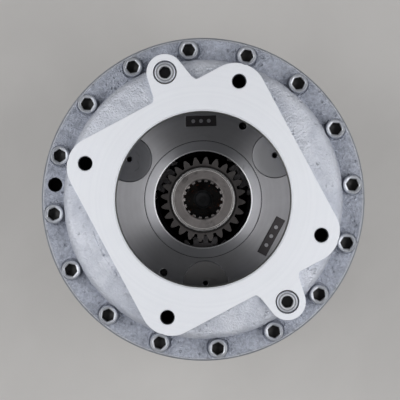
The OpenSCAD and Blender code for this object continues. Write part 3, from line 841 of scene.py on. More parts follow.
@dataclass(frozen=True)
class FastenerFinish(Finish):
    """A plated fastener with a fine grain, worn corners, zones of painted highlight and painted shade, and
    painted shade in its key hole.
    """

    name: str
    plate: Colour
    shade: Colour
    # The dark tone painted into the key hole as shade
    key: Colour
    rough: float = 0.36
    metal: float = 0.85
    centres: Centres = Centres()
    key_shade_radius: float = 8.3
    key_shade_below: float = 293.85
    zones: tuple[Zone, ...] = ()

    def fill(self, s: ShaderSheet, shader: bpy.types.Node, effects: Effects) -> None:
        """Mixes plate, shade and worn corners, lays the zones, and paints shade into the key hole.

        Args:
            s: The material's sheet.
            shader: Its Principled shader.
            effects: The shared groups.
        """
        p = s.place()
        around = s.use(effects.centres, **self.centres.inputs())
        edge = s.use(effects.edge_wear, Reach=0.5 * MM, Break_Up=0.2)
        film = s.use(effects.oil_film, Patch=9.0, Amount=0.4)
        grain = s.noise(p["at"], 1.6, 5.0, 0.6)
        cloud = s.spread(s.noise(p["at"], 0.06, 4.0, 0.6, 0.4), 0.35, 0.7)
        colour = s.mix(s.weighed(grain, 0.35, cloud, 0.65), self.shade, self.plate)
        colour = s.mix(s.times(edge.outputs["Worn"], 0.55), colour, self.plate)
        # Painted shade: inside the key hole's radius and below its height the colour turns to the dark key
        # tone
        inside = s.times(
            s.spread(around.outputs["Distance"], self.key_shade_radius + 0.15, self.key_shade_radius - 0.25),
            s.spread(p["z"], self.key_shade_below + 0.1, self.key_shade_below - 0.8),
        )
        colour = s.mix(inside, self.zoned(s, effects, colour), self.key)
        s.feed(shader.inputs["Base Color"], colour)
        s.feed(shader.inputs["Roughness"], s.between(cloud, self.rough + 0.1, self.rough - 0.05))
        s.feed(shader.inputs["Metallic"], s.between(inside, self.metal, 0.4))
        s.feed(shader.inputs["Coat Weight"], s.times(film.outputs["Film"], 0.35))
        shader.inputs["Coat Roughness"].default_value = 0.2
        s.feed(shader.inputs["Normal"], s.bump(grain, 0.03, edge.outputs["Normal"]))


@dataclass(frozen=True)
class RubberFinish(Finish):
    """Moulded nitrile rubber, slightly bloomed, with a fine moulded grain."""

    name: str
    colour: Colour
    bloom: Colour
    rough: float = 0.5

    def fill(self, s: ShaderSheet, shader: bpy.types.Node, effects: Effects) -> None:
        """Mixes the rubber's bloom and its moulded grain.

        Args:
            s: The material's sheet.
            shader: Its Principled shader.
            effects: The shared groups.
        """
        at = s.place()["at"]
        cloud = s.spread(s.noise(at, 0.08, 4.0, 0.6, 0.5), 0.38, 0.72)
        grain = s.noise(at, 2.2, 4.0, 0.6)
        film = s.use(effects.oil_film, Patch=8.0, Amount=0.5)
        colour = s.mix(s.weighed(grain, 0.3, cloud, 0.5), self.colour, self.bloom)
        s.feed(shader.inputs["Base Color"], colour)
        rough = s.between(cloud, self.rough, self.rough + 0.2)
        s.feed(shader.inputs["Roughness"], s.between(film.outputs["Film"], rough, 0.22))
        s.feed(shader.inputs["Normal"], s.bump(grain, 0.04))


@dataclass(frozen=True)
class FloorFinish(Finish):
    """The studio's plain pale floor, which glows a little when seen and bounces a tone of its own."""

    name: str
    pale: Colour
    dim: Colour
    bounce: Colour
    glow: float = 0.2

    def fill(self, s: ShaderSheet, shader: bpy.types.Node, effects: Effects) -> None:
        """Gives the floor a faint cloud of tone and a fine grain.

        Args:
            s: The material's sheet.
            shader: Its Principled shader.
            effects: The shared groups; not used.
        """
        at = s.place()["at"]
        cloud = s.noise(at, 0.004, 4.0, 0.55, 0.3)
        light = s.add("ShaderNodeLightPath").outputs
        seen = s.most(light["Is Camera Ray"], light["Is Glossy Ray"], light["Is Transmission Ray"])
        own = s.mix(s.spread(cloud, 0.3, 0.7), self.dim, self.pale)
        s.feed(shader.inputs["Base Color"], s.mix(seen, self.bounce, own))
        s.feed(shader.inputs["Emission Color"], own)
        s.feed(shader.inputs["Emission Strength"], s.times(seen, self.glow))
        behind = s.add("ShaderNodeNewGeometry").outputs["Backfacing"]
        s.feed(shader.inputs["Alpha"], s.math("SUBTRACT", 1.0, behind))
        s.feed(shader.inputs["Roughness"], s.between(cloud, 0.7, 0.85))
        s.feed(shader.inputs["Normal"], s.bump(s.noise(at, 0.5, 3.0), 0.12))


# Workshop: meshes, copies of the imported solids, and repeated parts


class Rim(Enum):
    """The outline of one station of a turned shape."""

    ROUND = "round"
    HEX = "hex"
    KNURL = "knurl"


class Station(NamedTuple):
    """One ring of a turned shape: its radius, its height and its outline."""

    r: float
    z: float
    rim: Rim = Rim.ROUND


KNURL_DEPTH = 0.42


def rim_radius(station: Station, step: int, steps: int) -> float:
    """Returns a station's radius at one of its steps.

    Args:
        station: The station; a hexagon's radius is that of its corners.
        step: Which vertex of the ring.
        steps: How many the ring has.

    Returns:
        The radius there.
    """
    if station.rim is Rim.KNURL:
        return station.r - (KNURL_DEPTH if step % 2 else 0.0)
    if station.rim is Rim.HEX:
        turn = (math.tau * step / steps) % (math.pi / 3.0)
        return station.r * math.cos(math.pi / 6.0) / math.cos(turn - math.pi / 6.0)
    return station.r


def turned_mesh(name: str, stations: Sequence[Station], steps: int) -> bpy.types.Mesh:
    """Builds a closed turned shape about Z from its stations, bottom first.

    Args:
        name: The mesh's name.
        stations: Its rings, from one pole to the other, without the poles.
        steps: Vertices in a ring.

    Returns:
        The mesh, in metres, with its faces outwards.
    """
    work = bmesh.new()
    rings = []
    for station in stations:
        ring = []
        for step in range(steps):
            angle = math.tau * step / steps
            r = rim_radius(station, step, steps) * MM
            ring.append(work.verts.new((r * math.cos(angle), r * math.sin(angle), station.z * MM)))
        rings.append(ring)
    for low, high in zip(rings, rings[1:]):
        for step in range(steps):
            after = (step + 1) % steps
            work.faces.new((low[step], low[after], high[after], high[step]))
    for ring, station in ((rings[0], stations[0]), (rings[-1], stations[-1])):
        pole = work.verts.new((0.0, 0.0, station.z * MM))
        for step in range(steps):
            work.faces.new((ring[step], ring[(step + 1) % steps], pole))
    bmesh.ops.recalc_face_normals(work, faces=work.faces)
    mesh = bpy.data.meshes.new(name)
    work.to_mesh(mesh)
    work.free()
    mesh.shade_smooth()
    mesh.set_sharp_from_angle(angle=math.radians(MADE_SHARP_DEG))
    return mesh


class Workshop:
    """Holds the frame and the effects, and makes, dresses and logs every piece."""

    RING_INPUTS = (
        SocketPlan("Count", "NodeSocketInt"),
        SocketPlan("Ring Radius"),
        SocketPlan("Start Angle"),
        SocketPlan("Height"),
        SocketPlan("Turn"),
        SocketPlan("Seed", "NodeSocketInt"),
        SocketPlan("Material", "NodeSocketMaterial"),
    )

    def __init__(self, frame: dict[str, Any]) -> None:
        """Keeps the loaded frame and builds the shared groups.
        """
        self.frame = frame
        self.effects = Effects()
        self.ring_tree = self._ring_tree()
        self.thread_tree = self._thread_tree()

    def body_of(self, node: str) -> str:
        """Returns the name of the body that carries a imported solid."""
        parent = self.frame["nodes"][node].parent
        return next(name for name, empty in self.frame["bodies"].items() if empty == parent)

    def smooth_copy(self, node: str) -> bpy.types.Mesh:
        """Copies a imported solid's mesh with its doubles merged and its round walls smooth.

        Args:
            node: The solid's name.

        Returns:
            The new mesh.
        """
        packed = self.frame["nodes"][node].data
        work = bmesh.new()
        placed = [work.verts.new(vertex.co) for vertex in packed.vertices]
        for face in packed.polygons:
            work.faces.new([placed[index] for index in face.vertices])
        bmesh.ops.remove_doubles(work, verts=work.verts, dist=MERGE_GAP)
        bmesh.ops.dissolve_degenerate(work, edges=work.edges, dist=LEAST_EDGE)
        mesh = bpy.data.meshes.new(f"{node}_merged")
        work.to_mesh(mesh)
        work.free()
        mesh.shade_smooth()
        mesh.set_sharp_from_angle(angle=math.radians(COPY_SHARP_DEG))
        holder = bpy.data.objects.new(f"{node}_holder", mesh)
        bpy.context.scene.collection.objects.link(holder)
        weigh = holder.modifiers.new("weigh", "WEIGHTED_NORMAL")
        weigh.mode = "FACE_AREA"
        weigh.keep_sharp = True
        weigh.weight = 60
        return self._harvest(holder, f"{node}_finished")

    @staticmethod
    def _harvest(holder: bpy.types.Object, name: str) -> bpy.types.Mesh:
        """Takes an object's evaluated mesh and removes the object.

        Args:
            holder: The object with its modifiers.
            name: The new mesh's name.

        Returns:
            The plain mesh.
        """
        depsgraph = bpy.context.evaluated_depsgraph_get()
        mesh = bpy.data.meshes.new_from_object(holder.evaluated_get(depsgraph), depsgraph=depsgraph)
        mesh.name = name
        bpy.data.objects.remove(holder)
        return mesh

    def dress(self, node: str, finish: Finish) -> bpy.types.Object:
        """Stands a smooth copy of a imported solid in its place, on its body, with its finish.

        Args:
            node: The solid's name.
            finish: Its finish.

        Returns:
            The new piece.
        """
        mesh = self.smooth_copy(node)
        return self.piece(f"{node}_finished", mesh, finish, self.body_of(node), (node,))

    def piece(
        self,
        name: str,
        mesh: bpy.types.Mesh,
        finish: Finish,
        body: str,
        stands_for: Sequence[str] = (),
    ) -> bpy.types.Object:
        """Links a mesh as a piece of the drive.

        Args:
            name: Its name.
            mesh: Its mesh, already in place.
            finish: Its finish.
            body: The name of the body that it rides on.
            stands_for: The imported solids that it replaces.

        Returns:
            The piece.
        """
        mesh.materials.clear()
        mesh.materials.append(finish.material(self.effects))
        made = bpy.data.objects.new(name, mesh)
        bpy.context.scene.collection.objects.link(made)
        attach(made, body)
        if stands_for:
            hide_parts(*stands_for)
        LOG.info("%s: %d faces, %s, rides on %s", name, len(mesh.polygons), finish.name, body)
        return made

    @staticmethod
    def _new_tree(name: str, inputs: Sequence[SocketPlan]) -> tuple[bpy.types.NodeTree, Any, Any]:
        """Starts a geometry tree with named inputs and one geometry output.

        Args:
            name: Its name.
            inputs: Its inputs.

        Returns:
            The tree, its inputs' sockets and its output's socket.
        """
        tree = bpy.data.node_groups.new(name, "GeometryNodeTree")
        tree.is_modifier = True
        tree.interface.new_socket("Geometry", in_out="INPUT", socket_type="NodeSocketGeometry")
        for plan in inputs:
            tree.interface.new_socket(plan.name, in_out="INPUT", socket_type=plan.kind)
        tree.interface.new_socket("Geometry", in_out="OUTPUT", socket_type="NodeSocketGeometry")
        return tree, tree.nodes.new("NodeGroupInput").outputs, tree.nodes.new("NodeGroupOutput").inputs[0]

    @staticmethod
    def _round_the_ring(tree: bpy.types.NodeTree, given: Any, part: Any, out: Any) -> None:
        """Stands a part at equal places on a circle, turned at random, and realizes it.

        Args:
            tree: The geometry tree.
            given: Its inputs' sockets.
            part: The part's geometry socket.
            out: The tree's output socket.
        """
        link = tree.links.new
        s = ShaderSheet(tree)
        step = s.math("DIVIDE", math.tau, given["Count"])
        index = s.add("GeometryNodeInputIndex").outputs[0]
        angle = s.math("MULTIPLY_ADD", index, step, given["Start Angle"])
        at = s.add("ShaderNodeCombineXYZ")
        s.feed(at.inputs["X"], s.times(s.math("COSINE", angle), given["Ring Radius"]))
        s.feed(at.inputs["Y"], s.times(s.math("SINE", angle), given["Ring Radius"]))
        s.feed(at.inputs["Z"], given["Height"])
        places = s.add("GeometryNodePoints")
        s.feed(places.inputs["Count"], given["Count"])
        s.feed(places.inputs["Position"], at.outputs[0])
        chance = s.add("FunctionNodeRandomValue", data_type="FLOAT")
        floats = [socket for socket in chance.inputs if socket.type == "VALUE"]
        floats[0].default_value = 0.0
        link(given["Turn"], floats[1])
        link(given["Seed"], next(socket for socket in chance.inputs if socket.name == "Seed"))
        turn = s.add("ShaderNodeCombineXYZ")
        link(next(socket for socket in chance.outputs if socket.type == "VALUE"), turn.inputs["Z"])
        stand = s.add("GeometryNodeInstanceOnPoints")
        link(places.outputs[0], stand.inputs["Points"])
        link(part, stand.inputs["Instance"])
        link(turn.outputs[0], stand.inputs["Rotation"])
        real = s.add("GeometryNodeRealizeInstances")
        link(stand.outputs["Instances"], real.inputs["Geometry"])
        coat = s.add("GeometryNodeSetMaterial")
        link(real.outputs["Geometry"], coat.inputs["Geometry"])
        link(given["Material"], coat.inputs["Material"])
        link(coat.outputs["Geometry"], out)

    def _ring_tree(self) -> bpy.types.NodeTree:
        """Builds the tree that repeats a made part round a circle.

        Returns:
            The tree.
        """
        part = SocketPlan("Part", "NodeSocketObject")
        tree, given, out = self._new_tree("parts round a circle", (part, *self.RING_INPUTS))
        info = tree.nodes.new("GeometryNodeObjectInfo")
        info.transform_space = "ORIGINAL"
        tree.links.new(given["Part"], info.inputs["Object"])
        self._round_the_ring(tree, given, info.outputs["Geometry"], out)
        return tree

    def _thread_tree(self) -> bpy.types.NodeTree:
        """Builds the tree that cuts a screw thread's turns in a circle of tapped holes.

        Returns:
            The tree.
        """
        own = (SocketPlan("Thread Radius"), SocketPlan("Crest"), SocketPlan("Turns"), SocketPlan("Depth"))
        tree, given, out = self._new_tree("threads round a circle", (*own, *self.RING_INPUTS))
        link = tree.links.new
        helix = tree.nodes.new("GeometryNodeCurveSpiral")
        helix.inputs["Resolution"].default_value = 28
        link(given["Turns"], helix.inputs["Rotations"])
        link(given["Thread Radius"], helix.inputs["Start Radius"])
        link(given["Thread Radius"], helix.inputs["End Radius"])
        link(given["Depth"], helix.inputs["Height"])
        crest = tree.nodes.new("GeometryNodeCurvePrimitiveCircle")
        crest.inputs["Resolution"].default_value = 4
        link(given["Crest"], crest.inputs["Radius"])
        sweep = tree.nodes.new("GeometryNodeCurveToMesh")
        sweep.inputs["Fill Caps"].default_value = True
        link(helix.outputs["Curve"], sweep.inputs["Curve"])
        link(crest.outputs["Curve"], sweep.inputs["Profile Curve"])
        self._round_the_ring(tree, given, sweep.outputs["Mesh"], out)
        return tree

    def grow(self, name: str, tree: bpy.types.NodeTree, values: dict[str, Any]) -> bpy.types.Mesh:
        """Runs a geometry tree with its values and takes the plain mesh.

        Args:
            name: The mesh's name.
            tree: The tree.
            values: Its inputs by name.

        Returns:
            The mesh.
        """
        holder = bpy.data.objects.new(f"{name}_holder", bpy.data.meshes.new(f"{name}_empty"))
        bpy.context.scene.collection.objects.link(holder)
        modifier = holder.modifiers.new("grow", "NODES")
        modifier.node_group = tree
        for item in tree.interface.items_tree:
            if item.item_type == "SOCKET" and item.in_out == "INPUT" and item.name in values:
                modifier[item.identifier] = values[item.name]
        mesh = self._harvest(holder, name)
        work = bmesh.new()
        work.from_mesh(mesh)
        bmesh.ops.recalc_face_normals(work, faces=work.faces)
        work.to_mesh(mesh)
        work.free()
        return mesh


@dataclass(frozen=True)
class RingLayout:
    """Equal places on a circle about the drive's axis, each with a turn of its own up to a limit."""

    centres: Centres
    height: float
    turn_deg: float = 0.0
    seed: int = 1

    def values(self, finish: Finish, effects: Effects) -> dict[str, Any]:
        """Returns the inputs for a tree that repeats a part in these places.

        Args:
            finish: The part's finish.
            effects: The shared groups.

        Returns:
            The tree's inputs by name, in metres and radians.
        """
        return {
            "Count": self.centres.count,
            "Ring Radius": self.centres.ring_radius * MM,
            "Start Angle": math.radians(self.centres.phase_deg),
            "Height": self.height * MM,
            "Turn": math.radians(self.turn_deg),
            "Seed": self.seed,
            "Material": finish.material(effects),
        }


@dataclass(frozen=True)
class Screws:
    """Equal screws on a circle, made once and repeated by the ring tree."""

    name: str
    stands_for: str
    finish: FastenerFinish
    layout: RingLayout
    stations: tuple[Station, ...]
    steps: int

    def build(self, shop: Workshop) -> bpy.types.Object:
        """Makes the screws.

        Args:
            shop: The workshop.

        Returns:
            The piece.
        """
        screw = turned_mesh(f"{self.name}_one", self.stations, self.steps)
        pattern = bpy.data.objects.new(f"{self.name}_pattern", screw)
        values = self.layout.values(self.finish, shop.effects) | {"Part": pattern}
        mesh = shop.grow(self.name, shop.ring_tree, values)
        mesh.shade_smooth()
        mesh.set_sharp_from_angle(angle=math.radians(MADE_SHARP_DEG))
        bpy.data.objects.remove(pattern)
        body = shop.body_of(self.stands_for)
        return shop.piece(self.name, mesh, self.finish, body, (self.stands_for,))


@dataclass(frozen=True)
class TappedThreads:
    """The thread turns that show inside a circle of tapped holes, with their size and their pitch."""

    name: str
    finish: Finish
    layout: RingLayout
    hole_radius: float
    casting: str = "motor_flange_cover"
    pitch: float = 2.5
    depth: float = 22.5
    sunk: float = 0.12
    crest_share: float = 0.36

    def build(self, shop: Workshop) -> bpy.types.Object:
        """Makes the turns, set half into the wall of each hole.

        Args:
            shop: The workshop.

        Returns:
            The piece.
        """
        values = self.layout.values(self.finish, shop.effects) | {
            "Thread Radius": (self.hole_radius + self.sunk) * MM,
            "Crest": self.pitch * self.crest_share * MM,
            "Turns": self.depth / self.pitch,
            "Depth": self.depth * MM,
        }
        mesh = shop.grow(self.name, shop.thread_tree, values)
        return shop.piece(self.name, mesh, self.finish, shop.body_of(self.casting))


# The drive's sub-assemblies


COVER_BOLTS = Centres(16, 0.0, 185.0)
JACKING_HOLE = Centres(1, 146.25, 185.0)
MOTOR_HOLES = Centres(4, 45.0, 150.0)
FRAME_HOLES = Centres(12, 0.0, 216.0)
RETAINER_BOLTS = Centres(8, 22.5, 118.5)
UPPER_EAR = Centres(1, 78.75, 161.2)
LOWER_EAR = Centres(1, -78.75, 161.2)
FIRST_PINS = Centres(3, 3.5, 106.0)
# The two first-stage pins whose ends carry a painted highlight and painted shade
PIN_WITH_PAINTED_LIGHT = Centres(1, 3.5, 106.0)
PIN_WITH_PAINTED_SHADE = Centres(1, 243.5, 106.0)
CARRIER_HOLES = Centres(2, 33.5, 104.9)
SECOND_PINS = Centres(3, 40.0, 102.0)

CAST_GREY = tone(178, 183, 197)
CAST_DARK = tone(126, 131, 145)
STEEL = tone(178, 180, 186)
STEEL_DIM = tone(134, 136, 142)
# Painted shade: the black laid into holes, seams and hollows that light doesn't reach
SHADE_BLACK = tone(18, 17, 19)
BLACK_OXIDE = TurnedFinish("black oxide", tone(70, 70, 74), tone(40, 40, 43), rough=0.4, metal=0.7, oil=0.4)


def bronze(name: str, pins: Centres) -> TurnedFinish:
    """Returns the bronze of the bushes and washers that run on a stage's pins."""
    return TurnedFinish(name, tone(176, 134, 78), tone(128, 92, 52), rough=0.34, oil=0.4, lay=pins)


def socket_screw(
    head: float, height: float, key: float, key_depth: float, shank: float, length: float
) -> tuple[Station, ...]:
    """Returns the stations of a knurled socket-head screw, seated at height 0.

    Args:
        head: Radius of the head.
        height: Height of the head.
        key: Corner radius of the hexagon key hole.
        key_depth: Its depth.
        shank: Radius of the shank.
        length: Length of the shank.

    Returns:
        The stations, bottom first.
    """
    key_floor = height - key_depth
    return (
        Station(shank * 0.82, -length),
        Station(shank, -length + shank * 0.18),
        Station(shank, -0.6),
        Station(shank + 0.4, 0.0),
        Station(head - 0.9, 0.0),
        Station(head - 0.35, 0.5),
        Station(head - 0.3, 1.3),
        Station(head, 1.8, Rim.KNURL),
        Station(head, height - 2.4, Rim.KNURL),
        Station(head - 0.3, height - 1.9),
        Station(head - 0.45, height - 0.9),
        Station(head - 1.3, height),
        Station(key + 0.75, height),
        Station(key, height - 0.7, Rim.HEX),
        Station(key, key_floor, Rim.HEX),
        Station(key * 0.8, key_floor),
        Station(key * 0.3, key_floor - 1.4),
    )


@dataclass(frozen=True)
class Castings:
    """The cover, the ring gear, the case, the seal retainer and their dowels and seals."""

    face_z: float = 316.0
    bore_r: float = 107.5
    ledge_z: float = 285.8
    flange_z: float = 280.0
    flange_under_z: float = 277.0
    flange_edge_r: float = 198.1
    joint_z: float = 254.0
    inside_z: float = 200.0
    recess_z: tuple[float, float] = (305.0, 306.9)
    recess_r: float = 14.7
    motor_hole_r: float = 9.1
    jack_hole_r: float = 9.6
    case_top_z: float = 105.5
    case_rim_z: float = 75.0
    case_rim_r: float = 196.0
    case_seat_z: float = 0.4
    case_bore_z: float = 90.0
    case_bore_r: float = 108.5
    spotface_z: tuple[float, float] = (25.0, 26.6)
    spotface_r: float = 19.2
    retainer_top_z: float = -96.5
    retainer_seat_z: tuple[float, float] = (-112.5, -110.5)
    retainer_seat_r: float = 112.0
    retainer_bore_r: float = 93.0
    seals: tuple[str, ...] = ("cover_o_ring", "case_o_ring", "retainer_o_ring", "output_oil_seal")

    def cover_finish(self) -> CastFinish:
        """Makes the cover's finish: a pale satin casting with a bright motor face, painted shade on the
        bore wall, black painted shade in the empty holes, and a paler flange chamfer, partly bare metal and
        partly a painted highlight.

        Returns:
            The finish.
        """
        recess = (self.recess_z, (0.0, self.recess_r), Facing.UP)
        # The flange's machined chamfer: its paler tone is partly bare metal and partly a painted highlight
        rim = Cut((self.flange_under_z, self.flange_z - 0.05), (self.flange_edge_r, FAR))
        # Painted shade: the pilot bore's wall is darkened, and the motor holes and the empty jacking hole
        # are painted black
        bore = Cut((self.inside_z, self.face_z - 1.3), (100.0, self.bore_r + 1.0), Facing.SIDE)
        motor_hole_shade = Cut((self.inside_z, self.face_z - 1.1), (0.0, self.motor_hole_r), centres=MOTOR_HOLES)
        jack_hole_shade = Cut((self.inside_z, self.flange_z - 0.8), (0.0, self.jack_hole_r), centres=JACKING_HOLE)
        return CastFinish(
            name="cover casting",
            skin=tone(222, 225, 234),
            skin_dark=tone(200, 204, 215),
            bare=tone(246, 248, 253),
            bare_dark=tone(228, 231, 239),
            low_z=self.flange_z + 3.5,
            low_skin=tone(214, 219, 233),
            low_dark=tone(164, 169, 183),
            low_metal=0.3,
            low_relief=2.8,
            zones=(
                Zone(rim, tone(220, 223, 232)),
                Zone(bore, tone(96, 97, 94)),
                Zone(motor_hole_shade, SHADE_BLACK),
                Zone(jack_hole_shade, SHADE_BLACK),
            ),
            cuts=(
                Cut((self.face_z - 0.6, FAR)),
                Cut((self.ledge_z, FAR), (0.0, self.bore_r + 2.6)),
                Cut(*recess, UPPER_EAR),
                Cut(*recess, LOWER_EAR),
                Cut((0.0, self.joint_z + 0.5)),
            ),
            grain=2.6,
            relief=3.4,
            skin_rough=0.52,
            skin_metal=0.7,
            bare_rough=0.5,
            bare_metal=0.3,
            bands=0.16,
            lay_depth=0.002,
            dust=0.08,
        )

    def ring_finish(self) -> TurnedFinish:
        """Makes the ring gear's finish, with black painted shade where its top shows down the empty jacking
        hole.

        Returns:
            The finish.
        """
        # Painted shade: the ring's top under the empty jacking hole is painted black
        pressed = Cut((self.joint_z - 1.0, FAR), (0.0, self.jack_hole_r), Facing.UP, JACKING_HOLE)
        return TurnedFinish(
            "turned ring", tone(184, 188, 197), tone(150, 154, 163), rough=0.38, metal=0.8, pitch=0.7,
            relief=0.02, oil=0.15, bands=0.6, zones=(Zone(pressed, SHADE_BLACK),),
        )

    def case_finish(self) -> CastFinish:
        """Makes the case's finish: a grey casting with turned flanges, spotfaces and bores.

        Returns:
            The finish.
        """
        return CastFinish(
            name="case casting",
            skin=CAST_GREY,
            skin_dark=CAST_DARK,
            bare=STEEL,
            bare_dark=STEEL_DIM,
            cuts=(
                Cut((self.case_rim_z, FAR), (self.case_rim_r, FAR)),
                Cut((self.case_top_z, FAR)),
                Cut((NOWHERE, self.case_seat_z)),
                Cut(self.spotface_z, (0.0, self.spotface_r), Facing.UP, FRAME_HOLES),
                Cut((NOWHERE, self.case_bore_z), (0.0, self.case_bore_r)),
            ),
            grain=2.4,
            relief=3.4,
            skin_rough=0.6,
            skin_metal=0.3,
            bare_rough=0.4,
            bare_metal=0.8,
            bands=0.45,
            dust=0.25,
        )

    def retainer_finish(self) -> CastFinish:
        """Makes the seal retainer's finish: a grey casting with a turned face, seat and bore.

        Returns:
            The finish.
        """
        return CastFinish(
            name="retainer casting",
            skin=CAST_GREY,
            skin_dark=CAST_DARK,
            bare=STEEL,
            bare_dark=STEEL_DIM,
            cuts=(
                Cut((self.retainer_top_z, FAR)),
                Cut(self.retainer_seat_z, (0.0, self.retainer_seat_r)),
                Cut((NOWHERE, FAR), (0.0, self.retainer_bore_r)),
            ),
            grain=2.2,
            relief=2.4,
            bare_metal=0.8,
            bands=0.5,
        )

    def build(self, shop: Workshop) -> None:
        """Dresses the castings and what is fixed in them.

        Args:
            shop: The workshop.
        """
        ground = TurnedFinish(
            "ground pins", tone(190, 192, 198), tone(150, 152, 158), rough=0.24, pitch=0.25, relief=0.004
        )
        rubber = RubberFinish("seal rubber", tone(34, 34, 36), tone(62, 62, 64))
        shop.dress("motor_flange_cover", self.cover_finish())
        shop.dress("ring_gear", self.ring_finish())
        shop.dress("drive_case", self.case_finish())
        shop.dress("seal_retainer", self.retainer_finish())
        shop.dress("dowel_pins", ground)
        for node in self.seals:
            shop.dress(node, rubber)


@dataclass(frozen=True)
class Fasteners:
    """The screws, the oil plugs with their washers, and the turns that show in the tapped holes."""

    cover_layout: RingLayout = RingLayout(COVER_BOLTS, height=278.0, turn_deg=360.0, seed=7)
    motor_layout: RingLayout = RingLayout(MOTOR_HOLES, height=292.0)
    jack_layout: RingLayout = RingLayout(JACKING_HOLE, height=256.0)
    motor_hole_r: float = 8.75
    jack_hole_r: float = 9.0
    plug_z: tuple[float, float] = (300.0, 320.0)
    plug_rim_highlight: tuple[float, float] = (11.4, 12.9)
    plug_groove_shade: tuple[float, float] = (9.9, 10.4)
    plug_key_highlight: tuple[float, float] = (7.9, 9.0)

    def plug_finish(self, node: str, head: Centres) -> FastenerFinish:
        """Makes an oil plug's finish, with a painted highlight on its rim, painted shade in its groove, a
        painted highlight round its key hole and painted shade in the key hole.

        Args:
            node: The plug's name.
            head: Where its head stands.

        Returns:
            The finish.
        """
        # Painted highlights on the head's rim and round its key hole, and painted shade in its groove and
        # in the key hole
        bright = tone(250, 251, 255)
        return FastenerFinish(
            name=f"plated {node.replace('_', ' ')}",
            plate=tone(226, 228, 234),
            shade=tone(176, 179, 187),
            key=tone(14, 12, 16),
            centres=head,
            key_shade_radius=7.7,
            key_shade_below=314.9,
            zones=(
                Zone(Cut(self.plug_z, self.plug_rim_highlight, centres=head), bright, 0.85),
                Zone(Cut(self.plug_z, self.plug_groove_shade, centres=head), tone(70, 72, 78), 0.8),
                Zone(Cut(self.plug_z, self.plug_key_highlight, centres=head), bright, 0.7),
            ),
        )

    def build(self, shop: Workshop) -> None:
        """Makes the cover screws and the threads, and dresses the plugs and the other screws.

        Args:
            shop: The workshop.
        """
        # Painted shade: each fastener finish's third tone is the dark painted into its key holes
        plated = FastenerFinish(
            "plated screws", tone(220, 223, 230), tone(168, 172, 181), tone(8, 7, 10), centres=COVER_BOLTS
        )
        screw = socket_screw(head=12.0, height=16.0, key=8.08, key_depth=8.0, shank=8.0, length=200.0)
        Screws("cover_screws", "cover_bolts", plated, self.cover_layout, screw, steps=72).build(shop)
        for node, head in (("fill_plug", UPPER_EAR), ("level_plug", LOWER_EAR), ("drain_plug", Centres())):
            shop.dress(node, self.plug_finish(node, head))
        copper = TurnedFinish(
            "copper washers", tone(120, 98, 84), tone(78, 62, 54), rough=0.42, metal=0.8, oil=0.5
        )
        for node in ("plug_seals", "drain_seal"):
            shop.dress(node, copper)
        small = FastenerFinish(
            "retainer screws", tone(150, 152, 158), tone(100, 102, 108), tone(26, 24, 28),
            centres=RETAINER_BOLTS, key_shade_radius=4.0, key_shade_below=-100.0,
        )
        shop.dress("retainer_bolts", small)
        thread = TurnedFinish(
            "cut threads", tone(64, 66, 72), tone(34, 35, 39), rough=0.4, metal=0.7, pitch=0.9, oil=0.6
        )
        TappedThreads("motor_hole_threads", thread, self.motor_layout, self.motor_hole_r).build(shop)
        TappedThreads("jacking_hole_thread", thread, self.jack_layout, self.jack_hole_r).build(shop)


